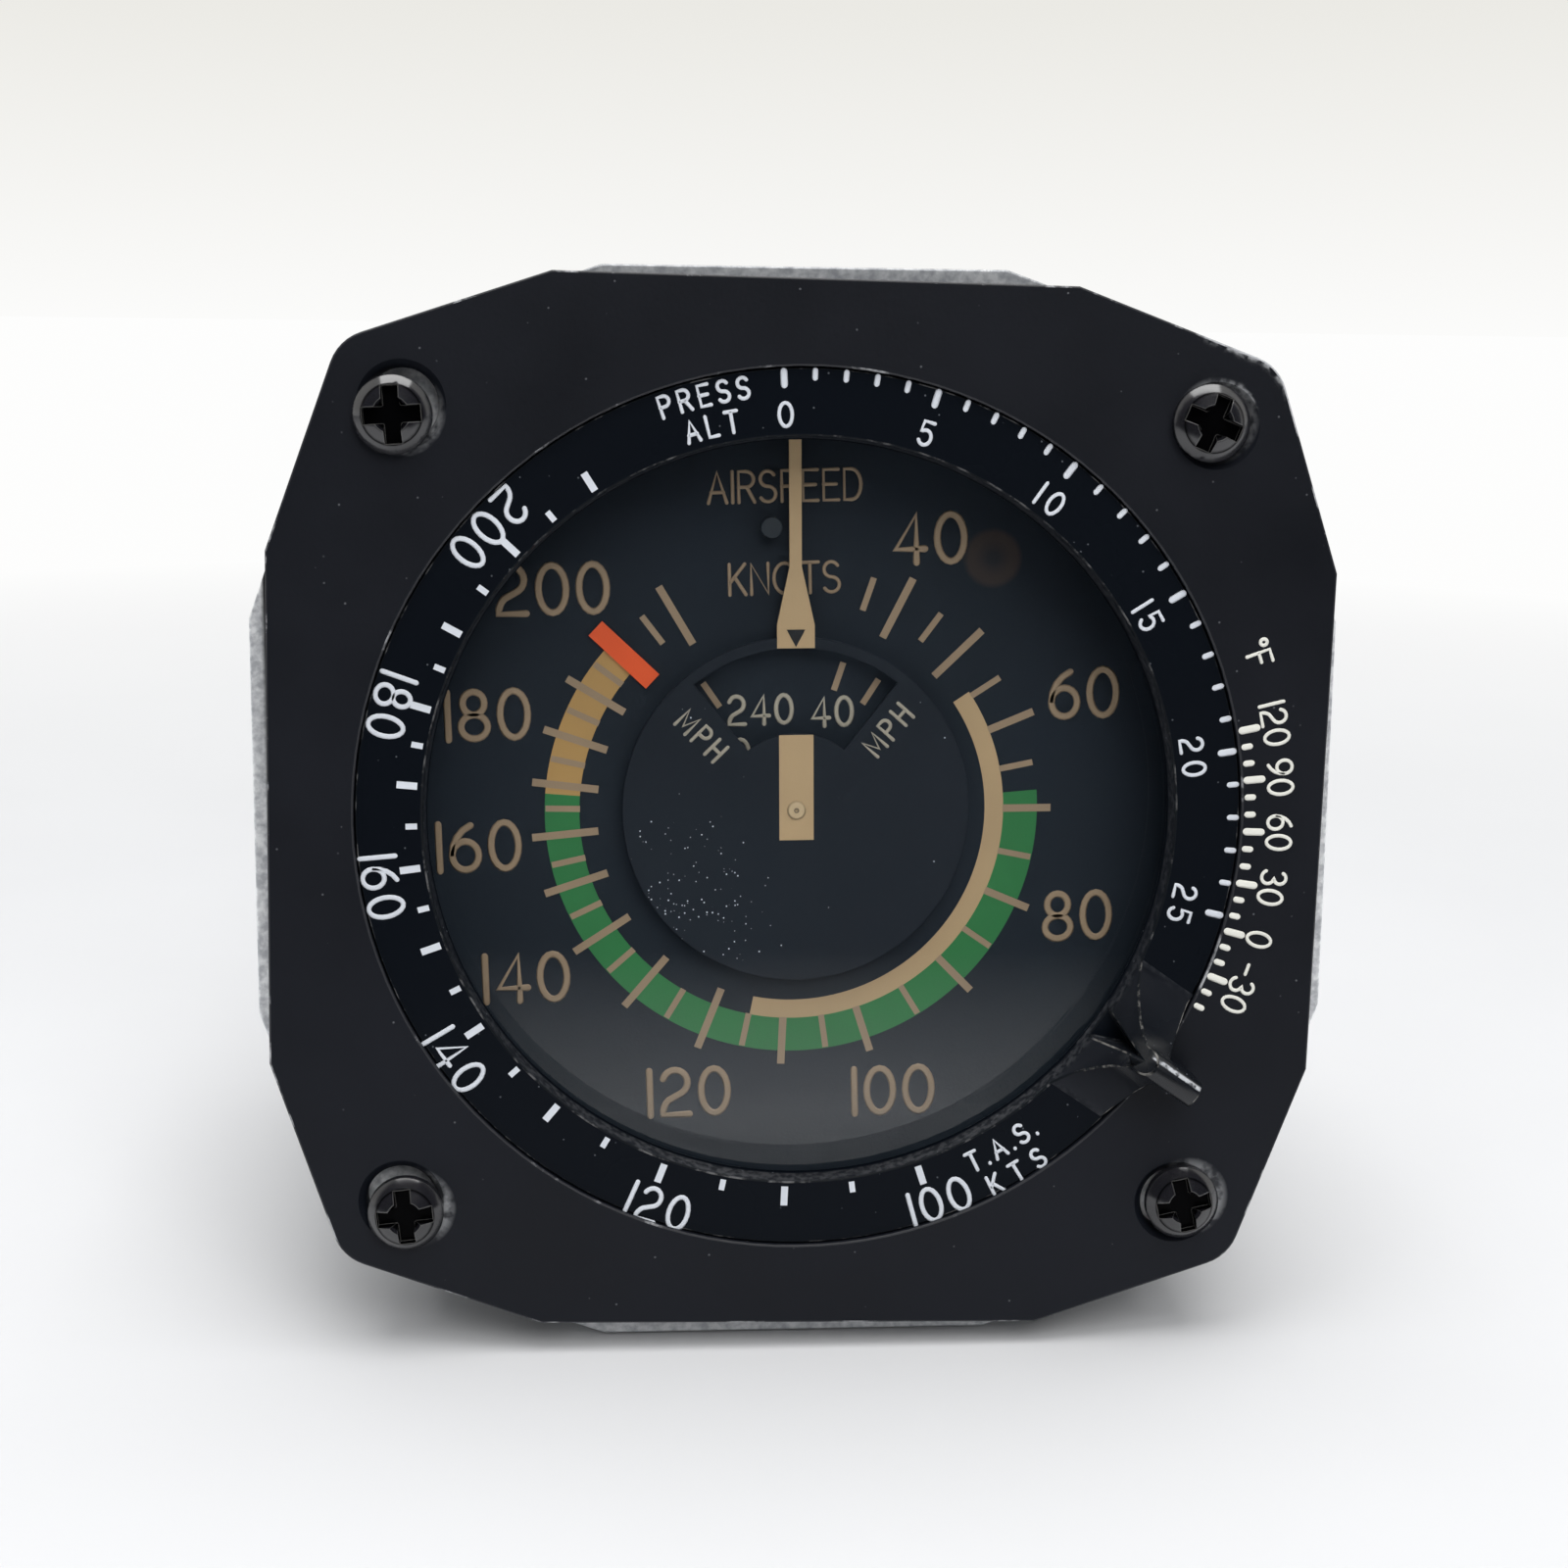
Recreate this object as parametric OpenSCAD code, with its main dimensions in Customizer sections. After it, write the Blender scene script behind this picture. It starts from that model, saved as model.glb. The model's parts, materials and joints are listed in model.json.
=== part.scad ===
// Panel-mounted true-airspeed indicator: bezel plate, turning computer ring, dial, pointer,
// and the capsule, rocker, sector and pinion that drive it, inside a flanged case.
// X is to the right of the dial, Y runs into the instrument and Z is up.
// The origin is on the case axis, on the rear face of the mounting flange.

/* [Bezel plate] */
// How far the plate's flats stand outside the screws' centres
plate_edge = 10.3; // [9.5:0.1:12]
// How far the plate's slanted sides stand outside the circle of screws
slant_out = 1.6; // [1:0.1:3]
// Angle between a flat and its slanted neighbour
slant_angle = 19.3; // [17:0.1:21]
// Radius of the four corners
corner_r = 3.75; // [2:0.25:5]
// Thickness of the plate
plate_t = 2.4; // [2.2:0.1:3.2]
// Depth of the front lip that holds the ring in
plate_lip_t = 1.3; // [1:0.1:1.6]
// How far the plate sits turned on its screws, clockwise from the front
plate_turn = 0.9; // [0:0.1:0.9]
// How far the plate sits to the right of the case axis
plate_shift_x = 0.1; // [0:0.05:0.1]
// How far the plate sits above the case axis
plate_shift_z = 0.3; // [0:0.05:0.3]
// Radius of the plate's screw holes
plate_hole_r = 2.8; // [2.8:0.05:3]
// Depth of the countersink on each screw hole
plate_sink = 0.6; // [0.2:0.1:0.8]

/* [Mounting screws] */
// Side of the square screw pattern
screw_pitch = 62.87; // [62:0.05:63.5]
// Radius of the screw's tail, at half the depth of its thread
screw_r = 1.48; // [1.4:0.01:1.5]
// How much thicker the shank is where it goes through the plate and the flange
shank_over = 0.25; // [0.2:0.01:0.3]
// Radius of the screw head
screw_head_r = 3; // [2.8:0.05:3.4]
// Height of the screw head at its rim
screw_rim_t = 0.7; // [0.5:0.1:1]
// Height of the dome above the rim
screw_dome_t = 1.5; // [1.2:0.1:1.8]
// Length of the shank under the head
screw_l = 15.9; // [13:0.1:19]
// Width of a slot of the cross recess
recess_w = 1.3; // [1:0.1:1.5]
// Length of a slot of the cross recess
recess_l = 4.4; // [3.8:0.1:4.8]
// Depth of the cross recess below the crown
recess_d = 1.5; // [1:0.1:1.8]

/* [Case] */
// How far the flange stands out past the plate on each flat
flange_over = 1.3; // [0.5:0.1:2]
// How far the flange's slanted sides stay inside the plate's
flange_slant_in = 0.25; // [0:0.05:0.5]
// Thickness of the flange
flange_t = 4.5; // [4:0.1:6]
// Height of the locating step behind the flange
pilot_step = 1; // [0.7:0.1:1.4]
// Length of the locating step
pilot_l = 6; // [4:0.5:12]
// How deep the barrel sits in the back of the flange
spigot_l = 1.2; // [0.8:0.1:1.5]
// How far the barrel stays inside the circle of screws
barrel_in = 6.16; // [5.5:0.01:7]
// Wall of the barrel
case_wall = 3.2; // [2.8:0.1:3.4]
// Thickness of the rear wall
rear_wall_t = 4; // [3:0.5:6]
// Chamfer round the rear edge of the barrel
rear_chamfer = 1.5; // [0.5:0.25:2.5]
// Gap round the ring's skirt in the flange
skirt_room = 0.85; // [0.7:0.05:1]
// Depth of the recess that takes the ring's skirt
ring_recess_d = 0.9; // [0.8:0.1:1.2]

/* [Ports] */
// Radius of the threaded port hole
port_r = 4.35; // [4:0.05:4.6]
// Length of the threaded port hole
port_l = 8; // [7:0.5:9]
// Outer radius of the port boss
port_boss_r = 7.5; // [6.5:0.25:8.5]
// Height of the port boss above the rear wall
port_boss_h = 6; // [5:0.5:9]
// Radius of the pressure passage through the rear wall
port_bleed_r = 1.2; // [0.8:0.1:1.5]

/* [Ring] */
// How far inside the glass's edge the ring's face ends
ring_inset = 1.35; // [1.2:0.05:1.6]
// Running clearance between the ring and the plate
ring_gap = 0.1; // [0.06:0.02:0.2]
// How far the ring's face lies below the plate's face
ring_recess = 0.4; // [0.2:0.1:0.6]
// Width of the ring's face
ring_face_w = 5.15; // [4.6:0.05:5.6]
// How far the ring's inner wall leans in from its face to its back
ring_bevel_w = 0.3; // [0.2:0.05:0.5]
// Depth of the inner wall
ring_bevel_d = 1.9; // [1.7:0.05:2]
// Straight land behind the inner wall
lip_land = 0.1; // [0.05:0.05:0.2]
// Width of the thin lip that covers the edge of the glass
lip_w = 3.9; // [3.6:0.1:4.2]
// How far the skirt runs out under the plate's lip
skirt_over = 1.5; // [1:0.1:1.8]
// Thickness of the friction washer under the skirt
washer_t = 0.5; // [0.4:0.05:0.6]
// Radial width of the friction washer
washer_w = 0.9; // [0.6:0.1:1.2]
// Axial play of the ring on each side of its skirt
ring_play = 0.05; // [0.03:0.01:0.1]

/* [Finger tab] */
// Angle of the tab, clockwise from the plate's top
tab_angle = 124; // [90:1:150]
// Distance from the tab's middle to the foot of each hollow
tab_half_w = 6.25; // [5.8:0.05:6.8]
// Angle at which each hollow leaves the ring's face
tab_foot_angle = 14; // [8:1:18]
// How far the tab's inner face leans out for each millimetre of height
tab_slope = 0.75; // [0.6:0.05:0.9]
// Width of the fin
tab_fin_w = 2.2; // [1.8:0.1:3]
// Height of the fin above the ring's face
tab_h = 5.2; // [4.8:0.1:6]
// How far the fin reaches out past the ring's face
tab_over = 2.95; // [1.5:0.05:3.5]
// Gap between the overhanging fin and the plate's face
tab_gap = 0.4; // [0.3:0.1:0.8]
// Width of the index notch at the inner edge
notch_w = 2.8; // [2:0.1:3.4]
// Depth of the notch from the face's inner edge to its point
notch_d = 2.9; // [2:0.1:3.5]

/* [Glass] */
// Width of the shoulder that the gasket and the glass sit on
glass_seat = 1.3; // [1:0.05:1.4]
// Thickness of the glass
glass_t = 2; // [1.6:0.1:2.4]
// Gap between the raised middle of the glass and the ring's lip
lens_gap = 0.2; // [0.15:0.05:0.4]
// Radial room between the raised middle of the glass and the ring, which turns a little off its axis
lens_room = 0.6; // [0.5:0.05:0.8]
// Radial gap round the glass, gasket and retainer
glass_gap = 0.2; // [0.1:0.05:0.3]
// Thickness of the gasket behind the glass
gasket_t = 0.6; // [0.4:0.1:0.8]
// Thickness of the retaining ring in front of the glass
retainer_t = 0.6; // [0.5:0.05:0.8]
// How far the retaining ring reaches over the glass
retainer_w = 1.9; // [1.4:0.1:2.4]
// Depth of the retaining ring's groove
groove_d = 0.6; // [0.4:0.1:0.7]
// Land in front of the retaining ring's groove
groove_land = 0.6; // [0.5:0.1:1]

/* [Dial and pointer] */
// Turn of the dial in the case, clockwise from the front
dial_turn = -2; // [-4:0.1:4]
// Turn of the pointer at rest, just clear of its stop pin
pointer_turn = -0.8; // [-1.2:0.1:0]
// Gap between the dial's edge and the barrel's wall
dial_room = 1.9; // [1:0.1:2.5]
// Thickness of the dial
dial_t = 0.8; // [0.5:0.1:1]
// Radius of the dial's centre hole
dial_hole_r = 2.4; // [2.2:0.1:3]
// Gap between the dial and the pointer
pointer_lift = 1.1; // [0.9:0.1:1.6]
// Gap between the pointer and the glass
pointer_gap = 0.6; // [0.4:0.1:1]
// Thickness of the pointer sheet
pointer_t = 0.4; // [0.3:0.05:0.5]
// Distance from the pointer's tip to the dial's edge
tip_room = 2.7; // [2:0.1:4]
// Width of the pointer's blade
blade_w = 1; // [0.8:0.1:1.4]
// Width of the pointer's root
root_w = 3.05; // [2.4:0.05:4]
// Radius where the root has narrowed to the blade
taper_r = 19.8; // [17:0.1:22]
// Radius of the pointer's disc
disc_r = 14.15; // [13.5:0.05:15]
// Inner radius of the disc's window
window_in_r = 6.3; // [5:0.1:8]
// Width of the disc's rim outside the window
window_rim = 0.9; // [0.6:0.1:1.4]
// Half angle of the window
window_half = 38.5; // [30:0.5:45]
// Radius of the pointer's hub
hub_r = 1.7; // [1.4:0.1:2]
// Radius of the pin that stops the pointer at zero
stop_r = 0.85; // [0.6:0.05:1.1]
// Distance of the stop pin from the centre
stop_at = 23; // [20.5:0.5:27]
// Gap between the stop pin and the resting pointer
stop_gap = 0.06; // [0.03:0.01:0.2]

/* [Movement frame] */
// Gap between the dial and the front plate
dial_stand = 1.6; // [1.4:0.1:2.4]
// How far the front plate runs out past the sector's bush
front_edge = 3.4; // [3:0.1:4]
// Thickness of the front plate
front_plate_t = 1.4; // [1.2:0.1:2]
// Clear distance between the two plates
plate_space = 20.6; // [20:0.1:23]
// Gap between the base plate's edge and the barrel's wall
base_room = 0.9; // [0.5:0.1:1.2]
// Thickness of the base plate
base_plate_t = 2; // [1.6:0.1:2.6]
// Radius of the pillars between the plates
pillar_r = 2.2; // [1.8:0.1:2.6]
// How far the pillars stand inside the front plate's edge
pillar_in = 2.5; // [2.4:0.1:3]
// Radius of the posts that carry the movement
post_r = 2.6; // [2.2:0.1:2.9]
// How far the posts stand inside the base plate's edge
post_in = 3.2; // [3:0.1:3.6]
// Radius of the small screws of the frame
frame_screw_r = 1; // [0.8:0.05:1.2]
// Head height of the small screws of the frame
frame_head_t = 1; // [0.7:0.1:1.2]
// Radius of the dial's feet
foot_r = 0.8; // [0.6:0.1:1]
// Distance of the dial's feet from the centre
foot_at = 19; // [17:0.5:21]

/* [Arbors] */
// Radius of the handstaff
staff_r = 0.75; // [0.6:0.05:0.9]
// Radius of the sector's arbor
arbor_r = 0.8; // [0.6:0.05:0.9]
// Running clearance of the arbors in their bushes
bush_gap = 0.03; // [0.02:0.01:0.06]
// Outer radius of the bushes
bush_r = 2; // [1.7:0.1:2.2]
// Clearance of pressed pieces
press_gap = 0.01; // [0.005:0.005:0.02]

/* [Gears] */
// Module of the teeth
gear_module = 0.4; // [0.38:0.01:0.42]
// Teeth of the pinion
pinion_teeth = 12; // [12:1:12]
// Teeth of the whole wheel that the sector is a part of
wheel_teeth = 96; // [96:1:96]
// Teeth cut on the sector
sector_teeth = 16; // [16:1:20]
// Angle that the pointer sweeps
pointer_sweep = 330; // [300:1:330]
// Share of the tooth thickness left free as backlash
backlash = 0.2; // [0.14:0.01:0.3]
// Thickness of the sector
sector_t = 0.8; // [0.6:0.1:1]
// Length of the pinion
pinion_l = 2; // [1.6:0.1:2.4]
// Gap between the front plate and the sector
sector_stand = 2.6; // [2.2:0.1:3.2]
// Direction of the sector's arbor below the horizontal
sector_dir = 29.2; // [27:0.1:31]

/* [Rocker] */
// Distance of the drive pin from the sector's arbor
pin_at = 7; // [6.6:0.1:7.4]
// Radius of the drive pin
pin_r = 0.5; // [0.4:0.05:0.6]
// Length of the drive pin behind the sector
pin_l = 2.4; // [2.2:0.1:2.8]
// Length of the rocker's arm
arm_l = 12; // [11.8:0.1:12.2]
// Radius of the arm's nose
nose_r = 0.6; // [0.5:0.05:0.7]
// Gap between the drive pin and the arm's nose
drive_gap = 0.25; // [0.2:0.05:0.4]
// Length of the lever that the capsule pushes
lever_l = 5.5; // [5:0.1:5.8]
// Thickness of the arm and the lever
rocker_t = 0.8; // [0.6:0.1:1]
// Width of the arm and the lever
rocker_w = 3; // [2.4:0.1:3.4]
// Radius of the rocking shaft
shaft_r = 0.9; // [0.8:0.05:1.1]
// Radius of the shaft's pivots
pivot_r = 0.5; // [0.4:0.05:0.6]
// Height of the rocking shaft above the base plate
shaft_stand = 3.6; // [3.4:0.1:4]
// Thickness of the rocker's bracket
bracket_t = 1.2; // [1:0.1:1.4]
// Width of the rocker's bracket
bracket_w = 5; // [4:0.1:5.4]

/* [Hairspring] */
// Turns of the hairspring
spring_turns = 5; // [4:1:6]
// Outer radius of the hairspring
spring_r = 6; // [5:0.1:7]
// Thickness of the hairspring's strip
spring_t = 0.16; // [0.1:0.02:0.2]
// Width of the hairspring's strip
spring_w = 1.2; // [0.8:0.1:1.6]
// Distance from the front plate to the hairspring
spring_stand = 7; // [6.6:0.1:8]

/* [Capsule] */
// Gap between the capsule's rim and the barrel's wall
capsule_room = 4.1; // [3:0.1:6]
// Depth of one half of the capsule
capsule_half_t = 4; // [3.4:0.1:4.4]
// Wall of the capsule
capsule_wall = 0.4; // [0.3:0.05:0.5]
// Height of the corrugations
wave_h = 0.5; // [0.3:0.05:0.7]
// Gap between the base plate and the capsule
capsule_gap = 3.5; // [3.2:0.1:4.2]
// Length of the capsule's stem
stem_l = 5.5; // [4.5:0.1:7]
// Outer radius of the capsule's stem
stem_r = 2.8; // [2.4:0.1:3.2]
// Gap between the capsule's stud and the lever
stud_gap = 0.2; // [0.15:0.05:0.3]
// Radius of the capsule's stud
stud_r = 1; // [0.8:0.1:1.2]

/* [Hidden] */
$fn = 96;
eps = 0.01;

// Small clearances and edges that several pieces share
rub_gap = 0.3;
thread_gap = 0.05;
hole_gap = 0.2;
end_play = 0.1;
edge_break = 0.5;
thread_l = 3;

// Depths along Y, from the bezel plate's face back to the ports
plate_y = -flange_t - plate_t;
flange_y = -flange_t;
ring_y = plate_y + ring_recess;
skirt_y = plate_y + plate_lip_t + ring_play;
skirt_back_y = flange_y + ring_recess_d - washer_t - ring_play;
recess_y = flange_y + ring_recess_d;
retainer_y = recess_y + groove_land;
glass_y = retainer_y + retainer_t;
gasket_y = glass_y + glass_t;
lip_back_y = ring_y + ring_bevel_d + lip_land;
lens_y = lip_back_y + lens_gap;
shoulder_y = gasket_y + gasket_t;
pointer_y = gasket_y + pointer_gap;
dial_y = pointer_y + pointer_t + pointer_lift;
front_plate_y = dial_y + dial_t + dial_stand;
space_y = front_plate_y + front_plate_t;
base_plate_y = space_y + plate_space;
base_back_y = base_plate_y + base_plate_t;
capsule_y = base_back_y + capsule_gap;
capsule_rim_y = capsule_y + capsule_half_t;
capsule_back_y = capsule_rim_y + capsule_half_t;
rear_wall_y = capsule_back_y + stem_l;
rear_y = rear_wall_y + rear_wall_t;
port_y = rear_y + port_boss_h;
sector_y = space_y + sector_stand;
shaft_y = base_plate_y - shaft_stand;
spring_y = space_y + spring_stand;

// Radii and places that follow from the sizes above
screw_half = screw_pitch / 2;
screw_circle_r = screw_half * sqrt(2);
plate_half = screw_half + plate_edge;
plate_slant = screw_circle_r + slant_out;
flange_slant = plate_slant - flange_slant_in;
barrel_r = screw_circle_r - barrel_in;
pilot_r = barrel_r + pilot_step;
cavity_r = barrel_r - case_wall;
glass_r = cavity_r + glass_seat;
ring_r = glass_r - ring_inset;
ring_lip_r = ring_r - ring_face_w;
ring_throat_r = ring_lip_r - ring_bevel_w;
lip_r = ring_lip_r + lip_w;
lens_r = lip_r - lens_room;
tab_reach = ring_r + tab_over;
notch_r = ring_lip_r + notch_d;
dial_r = cavity_r - dial_room;
pointer_l = dial_r - tip_room;
glass_bore_r = glass_r + glass_gap;
opening_r = ring_r + ring_gap;
skirt_r = ring_r + skirt_over;
skirt_bore_r = skirt_r + rub_gap;
ring_recess_r = skirt_r + skirt_room;
shank_r = screw_r + shank_over;
thread_hole_r = shank_r + thread_gap;
pinion_pitch_r = gear_module * pinion_teeth / 2;
wheel_pitch_r = gear_module * wheel_teeth / 2;
centre_d = pinion_pitch_r + wheel_pitch_r;
sector_x = -centre_d * cos(sector_dir);
sector_z = -centre_d * sin(sector_dir);
gear_ratio = pinion_teeth / wheel_teeth;
sector_swing = pointer_sweep * gear_ratio;
rocker_swing = 2 * asin(pin_at * sin(sector_swing / 2) / arm_l);
shaft_x = sector_x + pin_r + drive_gap + nose_r;
arm_z = sector_z + pin_at * (1 + cos(sector_swing / 2)) / 2;
capsule_x = shaft_x + lever_l;
capsule_r = cavity_r - abs(capsule_x) - capsule_room;
front_plate_r = centre_d + bush_r + front_edge;
base_plate_r = cavity_r - base_room;
pillar_at = front_plate_r - pillar_in;
post_at = base_plate_r - post_in;
shaft_bottom_z = arm_z - rocker_w / 2 - edge_break;
shaft_top_z = rocker_w / 2 + edge_break;
pivot_l = 2.4 * pivot_r;
pivot_screw_r = pivot_r + 0.8;
spring_in_r = staff_r + 1;
spring_steps = 20 * spring_turns;
spring_angle = 45;
stud_pin_r = 0.7;
screw_turns = [-6, -4, -12, 22];
pillar_angles = [75, 165, 300];
post_angles = [20, 122, 238];
foot_angles = [30, 200, 270];

// Shapes that more than one piece uses

// A flat outline in X and Z, made into a sheet that starts at y
module sheet(y, t) {
    translate([0, y + t, 0]) rotate([90, 0, 0]) linear_extrude(t) children();
}

// A profile of radius and depth, turned round the Y axis
module turned() {
    rotate([-90, 0, 0]) rotate_extrude() children();
}

module rod(y0, y1, r) {
    translate([0, y0, 0]) rotate([-90, 0, 0]) cylinder(r = r, h = y1 - y0);
}

module washer(y0, y1, inner, outer) {
    difference() {
        rod(y0, y1, outer);
        rod(y0 - eps, y1 + eps, inner);
    }
}

// Copies at the listed angles, counted from +X towards +Z
module round_about(angles, r) {
    for (a = angles) translate([r * cos(a), 0, r * sin(a)]) children();
}

module at_screws() {
    for (x = [-screw_half, screw_half], z = [-screw_half, screw_half]) translate([x, 0, z]) children();
}

// The place of what hangs on the bezel plate, which sits a little off the case axis
module on_plate() {
    translate([plate_shift_x, 0, plate_shift_z]) rotate([0, plate_turn, 0]) children();
}

// Where the line at distance d and direction a meets the line at distance e and direction b
function crossing(d, a, e, b) = let (s = sin(b - a))
    [(d * sin(b) - e * sin(a)) / s, (e * cos(a) - d * cos(b)) / s];

// Half of one corner: the end of the flat, then where the corner's arc begins
function half_corner(half, slant, a, side) = let (n = a + side * (45 - slant_angle), flat = a + side * 45)
    [crossing(half, flat, slant, n),
     (slant - corner_r) / cos(45 - slant_angle) * [cos(a), sin(a)] + corner_r * [cos(n), sin(n)]];

// Square with four flats, eight slanted sides and round corners
module twelve_sided(half, slant) {
    corner_at = (slant - corner_r) / cos(45 - slant_angle);
    polygon([for (a = [45:90:315]) let (low = half_corner(half, slant, a, -1), high = half_corner(half, slant, a, 1))
        each [low[0], low[1], high[1], high[0]]]);
    for (a = [45:90:315]) translate(corner_at * [cos(a), sin(a)]) circle(corner_r);
}

// Teeth with an involute flank, drawn as half widths at a few radii
function involute(a) = tan(a) * 180 / PI - a;
function half_tooth(r, pitch_r, teeth) = 90 / teeth * (1 - backlash) + involute(20)
    - involute(acos(min(1, pitch_r * cos(20) / r)));
function tooth_radii(pitch_r) = [pitch_r - gear_module, pitch_r * cos(20), pitch_r - 0.3 * gear_module,
    pitch_r, pitch_r + 0.35 * gear_module, pitch_r + 0.7 * gear_module];
function tooth(pitch_r, teeth, a) = let (radii = [for (r = tooth_radii(pitch_r)) if (r >= pitch_r - gear_module) r])
    concat(
        [for (r = radii) let (h = half_tooth(r, pitch_r, teeth)) r * [cos(a - h), sin(a - h)]],
        [for (i = [len(radii) - 1:-1:0]) let (r = radii[i], h = half_tooth(r, pitch_r, teeth))
            r * [cos(a + h), sin(a + h)]]);

// A small slotless screw: head in front of y, shank behind it
module frame_screw(y, shank) {
    rod(y - frame_head_t, y, frame_screw_r * 1.9);
    rod(y - eps, y + shank, frame_screw_r);
}

// Case and front end

module case() color("#2b2c2f") {
    difference() {
        union() {
            turned() polygon([[0, -spigot_l], [pilot_r, -spigot_l], [pilot_r, pilot_l - edge_break],
                [pilot_r - edge_break, pilot_l], [barrel_r, pilot_l], [barrel_r, rear_y - rear_chamfer],
                [barrel_r - rear_chamfer, rear_y], [0, rear_y]]);
            for (side = [-1, 1]) translate([side * capsule_x, 0, 0]) rod(rear_y - eps, port_y, port_boss_r);
        }
        turned() polygon([[0, -spigot_l - eps], [glass_bore_r, -spigot_l - eps], [glass_bore_r, shoulder_y],
            [cavity_r, shoulder_y], [cavity_r, rear_wall_y], [0, rear_wall_y]]);
        for (side = [-1, 1]) translate([side * capsule_x, 0, 0]) {
            rod(port_y - port_l, port_y + eps, port_r);
            rod(rear_wall_y - eps, port_y, port_bleed_r);
        }
        round_about(post_angles, post_at) rod(rear_wall_y - eps, rear_y + eps, frame_screw_r + hole_gap);
    }
}

// The flange is brazed over the front of the barrel, and is bored for the ring's skirt, the glass and its retainer
module mounting_flange() color("#8d8f93") difference() {
    sheet(flange_y, flange_t) twelve_sided(plate_half + flange_over, flange_slant);
    turned() polygon([[0, flange_y - eps], [ring_recess_r, flange_y - eps], [ring_recess_r, recess_y],
        [glass_bore_r, recess_y], [glass_bore_r, retainer_y], [glass_bore_r + groove_d, retainer_y],
        [glass_bore_r + groove_d, glass_y], [glass_bore_r, glass_y], [glass_bore_r, -spigot_l],
        [pilot_r + press_gap, -spigot_l], [pilot_r + press_gap, eps], [0, eps]]);
    at_screws() rod(flange_y - eps, eps, thread_hole_r);
}

module bezel_plate() color("#212228") on_plate() difference() {
    sheet(plate_y, plate_t) twelve_sided(plate_half, plate_slant);
    rod(plate_y - eps, flange_y + eps, opening_r);
    rod(plate_y + plate_lip_t, flange_y + eps, skirt_bore_r);
    at_screws() {
        rod(plate_y - eps, flange_y + eps, plate_hole_r);
        turned() polygon([[0, plate_y - eps], [plate_hole_r + plate_sink + eps, plate_y - eps],
            [plate_hole_r, plate_y + plate_sink], [0, plate_y + plate_sink]]);
    }
}

// Each screw was left at its own angle: lower left, upper left, lower right, upper right
module mounting_screws() color("#0c0c0e") for (i = [0:3])
translate([(i < 2 ? -1 : 1) * screw_half, 0, (i % 2 == 0 ? -1 : 1) * screw_half]) {
    dome_r = (screw_head_r * screw_head_r + screw_dome_t * screw_dome_t) / (2 * screw_dome_t);
    crown_y = plate_y - screw_rim_t - screw_dome_t;
    difference() {
        union() {
            intersection() {
                rod(crown_y - eps, plate_y, screw_head_r);
                translate([0, crown_y + dome_r, 0]) sphere(dome_r);
            }
            rod(plate_y - eps, 0, shank_r);
            rod(-eps, plate_y + screw_l, screw_r);
        }
        rotate([0, screw_turns[i], 0]) for (turn = [0, 90]) rotate([0, turn, 0])
            translate([-recess_l / 2, crown_y - eps, -recess_w / 2]) cube([recess_l, recess_d, recess_w]);
        translate([0, crown_y - eps, 0]) rotate([-90, 0, 0]) cylinder(r1 = recess_w * 1.15, r2 = recess_w * 0.75, h = recess_d);
    }
}

module tas_ring() color("#0e1016") on_plate() {
    difference() {
        union() {
            turned() polygon([[ring_throat_r - 1, ring_y], [ring_r, ring_y], [ring_r, skirt_y], [skirt_r, skirt_y],
                [skirt_r, skirt_back_y], [lip_r, skirt_back_y], [lip_r, lip_back_y], [ring_throat_r - 1, lip_back_y]]);
            rotate([0, tab_angle, 0]) finger_tab();
        }
        turned() polygon(bevel_line());
        rotate([0, tab_angle, 0]) sheet(ring_y - tab_h - 1, tab_h + 1 + ring_bevel_d / 2) index_notch();
    }
}

// Outline of the notch, from past the throat out to its point
module index_notch() {
    past = ring_throat_r - 1;
    side = notch_w / 2 * (notch_r - past) / (notch_r - ring_throat_r);
    polygon([[-side, past], [0, notch_r], [side, past]]);
}

// The inner wall as a cutter: a cone through the tab, then the steep wall of the lip down to the throat
function bevel_line() = let (rise = tab_h + 1)
    [[0, ring_y - rise], [ring_lip_r + tab_slope * rise, ring_y - rise], [ring_lip_r, ring_y],
     [ring_throat_r, ring_y + ring_bevel_d], [ring_throat_r, recess_y], [0, recess_y]];

// Tab standing on the ring at the top: two hollow ramps, and a round-topped fin out over the plate
module finger_tab() {
    fin_r = tab_fin_w / 2;
    run = tab_half_w - fin_r;
    ramp_h = tab_h - fin_r;
    rise = ramp_h - edge_break;
    hollow_r = (run * run + rise * rise) / (2 * (rise * cos(tab_foot_angle) - run * sin(tab_foot_angle)));
    half = tab_half_w + edge_break;
    over_y = plate_y - tab_gap;
    inner = ring_lip_r - 1;
    intersection() {
        difference() {
            translate([-half, ring_y - ramp_h, inner]) cube([2 * half, ramp_h + edge_break, ring_r - inner]);
            for (side = [-1, 1]) translate([side * (tab_half_w + hollow_r * sin(tab_foot_angle)),
                ring_y - hollow_r * cos(tab_foot_angle), inner - eps]) cylinder(r = hollow_r, h = ring_r);
        }
        rod(ring_y - ramp_h - eps, ring_y + 1, ring_r - ring_gap);
    }
    translate([-fin_r, ring_y - tab_h + fin_r, inner]) cube([tab_fin_w, over_y - ring_y + tab_h - fin_r, tab_reach - inner]);
    translate([0, ring_y - tab_h + fin_r, inner]) cylinder(r = fin_r, h = tab_reach - inner);
}

module ring_washer() color("#8a8d92") on_plate()
    washer(recess_y - washer_t, recess_y, skirt_r - washer_w, skirt_r);

module glass_retainer() color("#1a1b1e")
    washer(retainer_y, glass_y, glass_r - retainer_w, glass_bore_r + groove_d - end_play);

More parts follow.
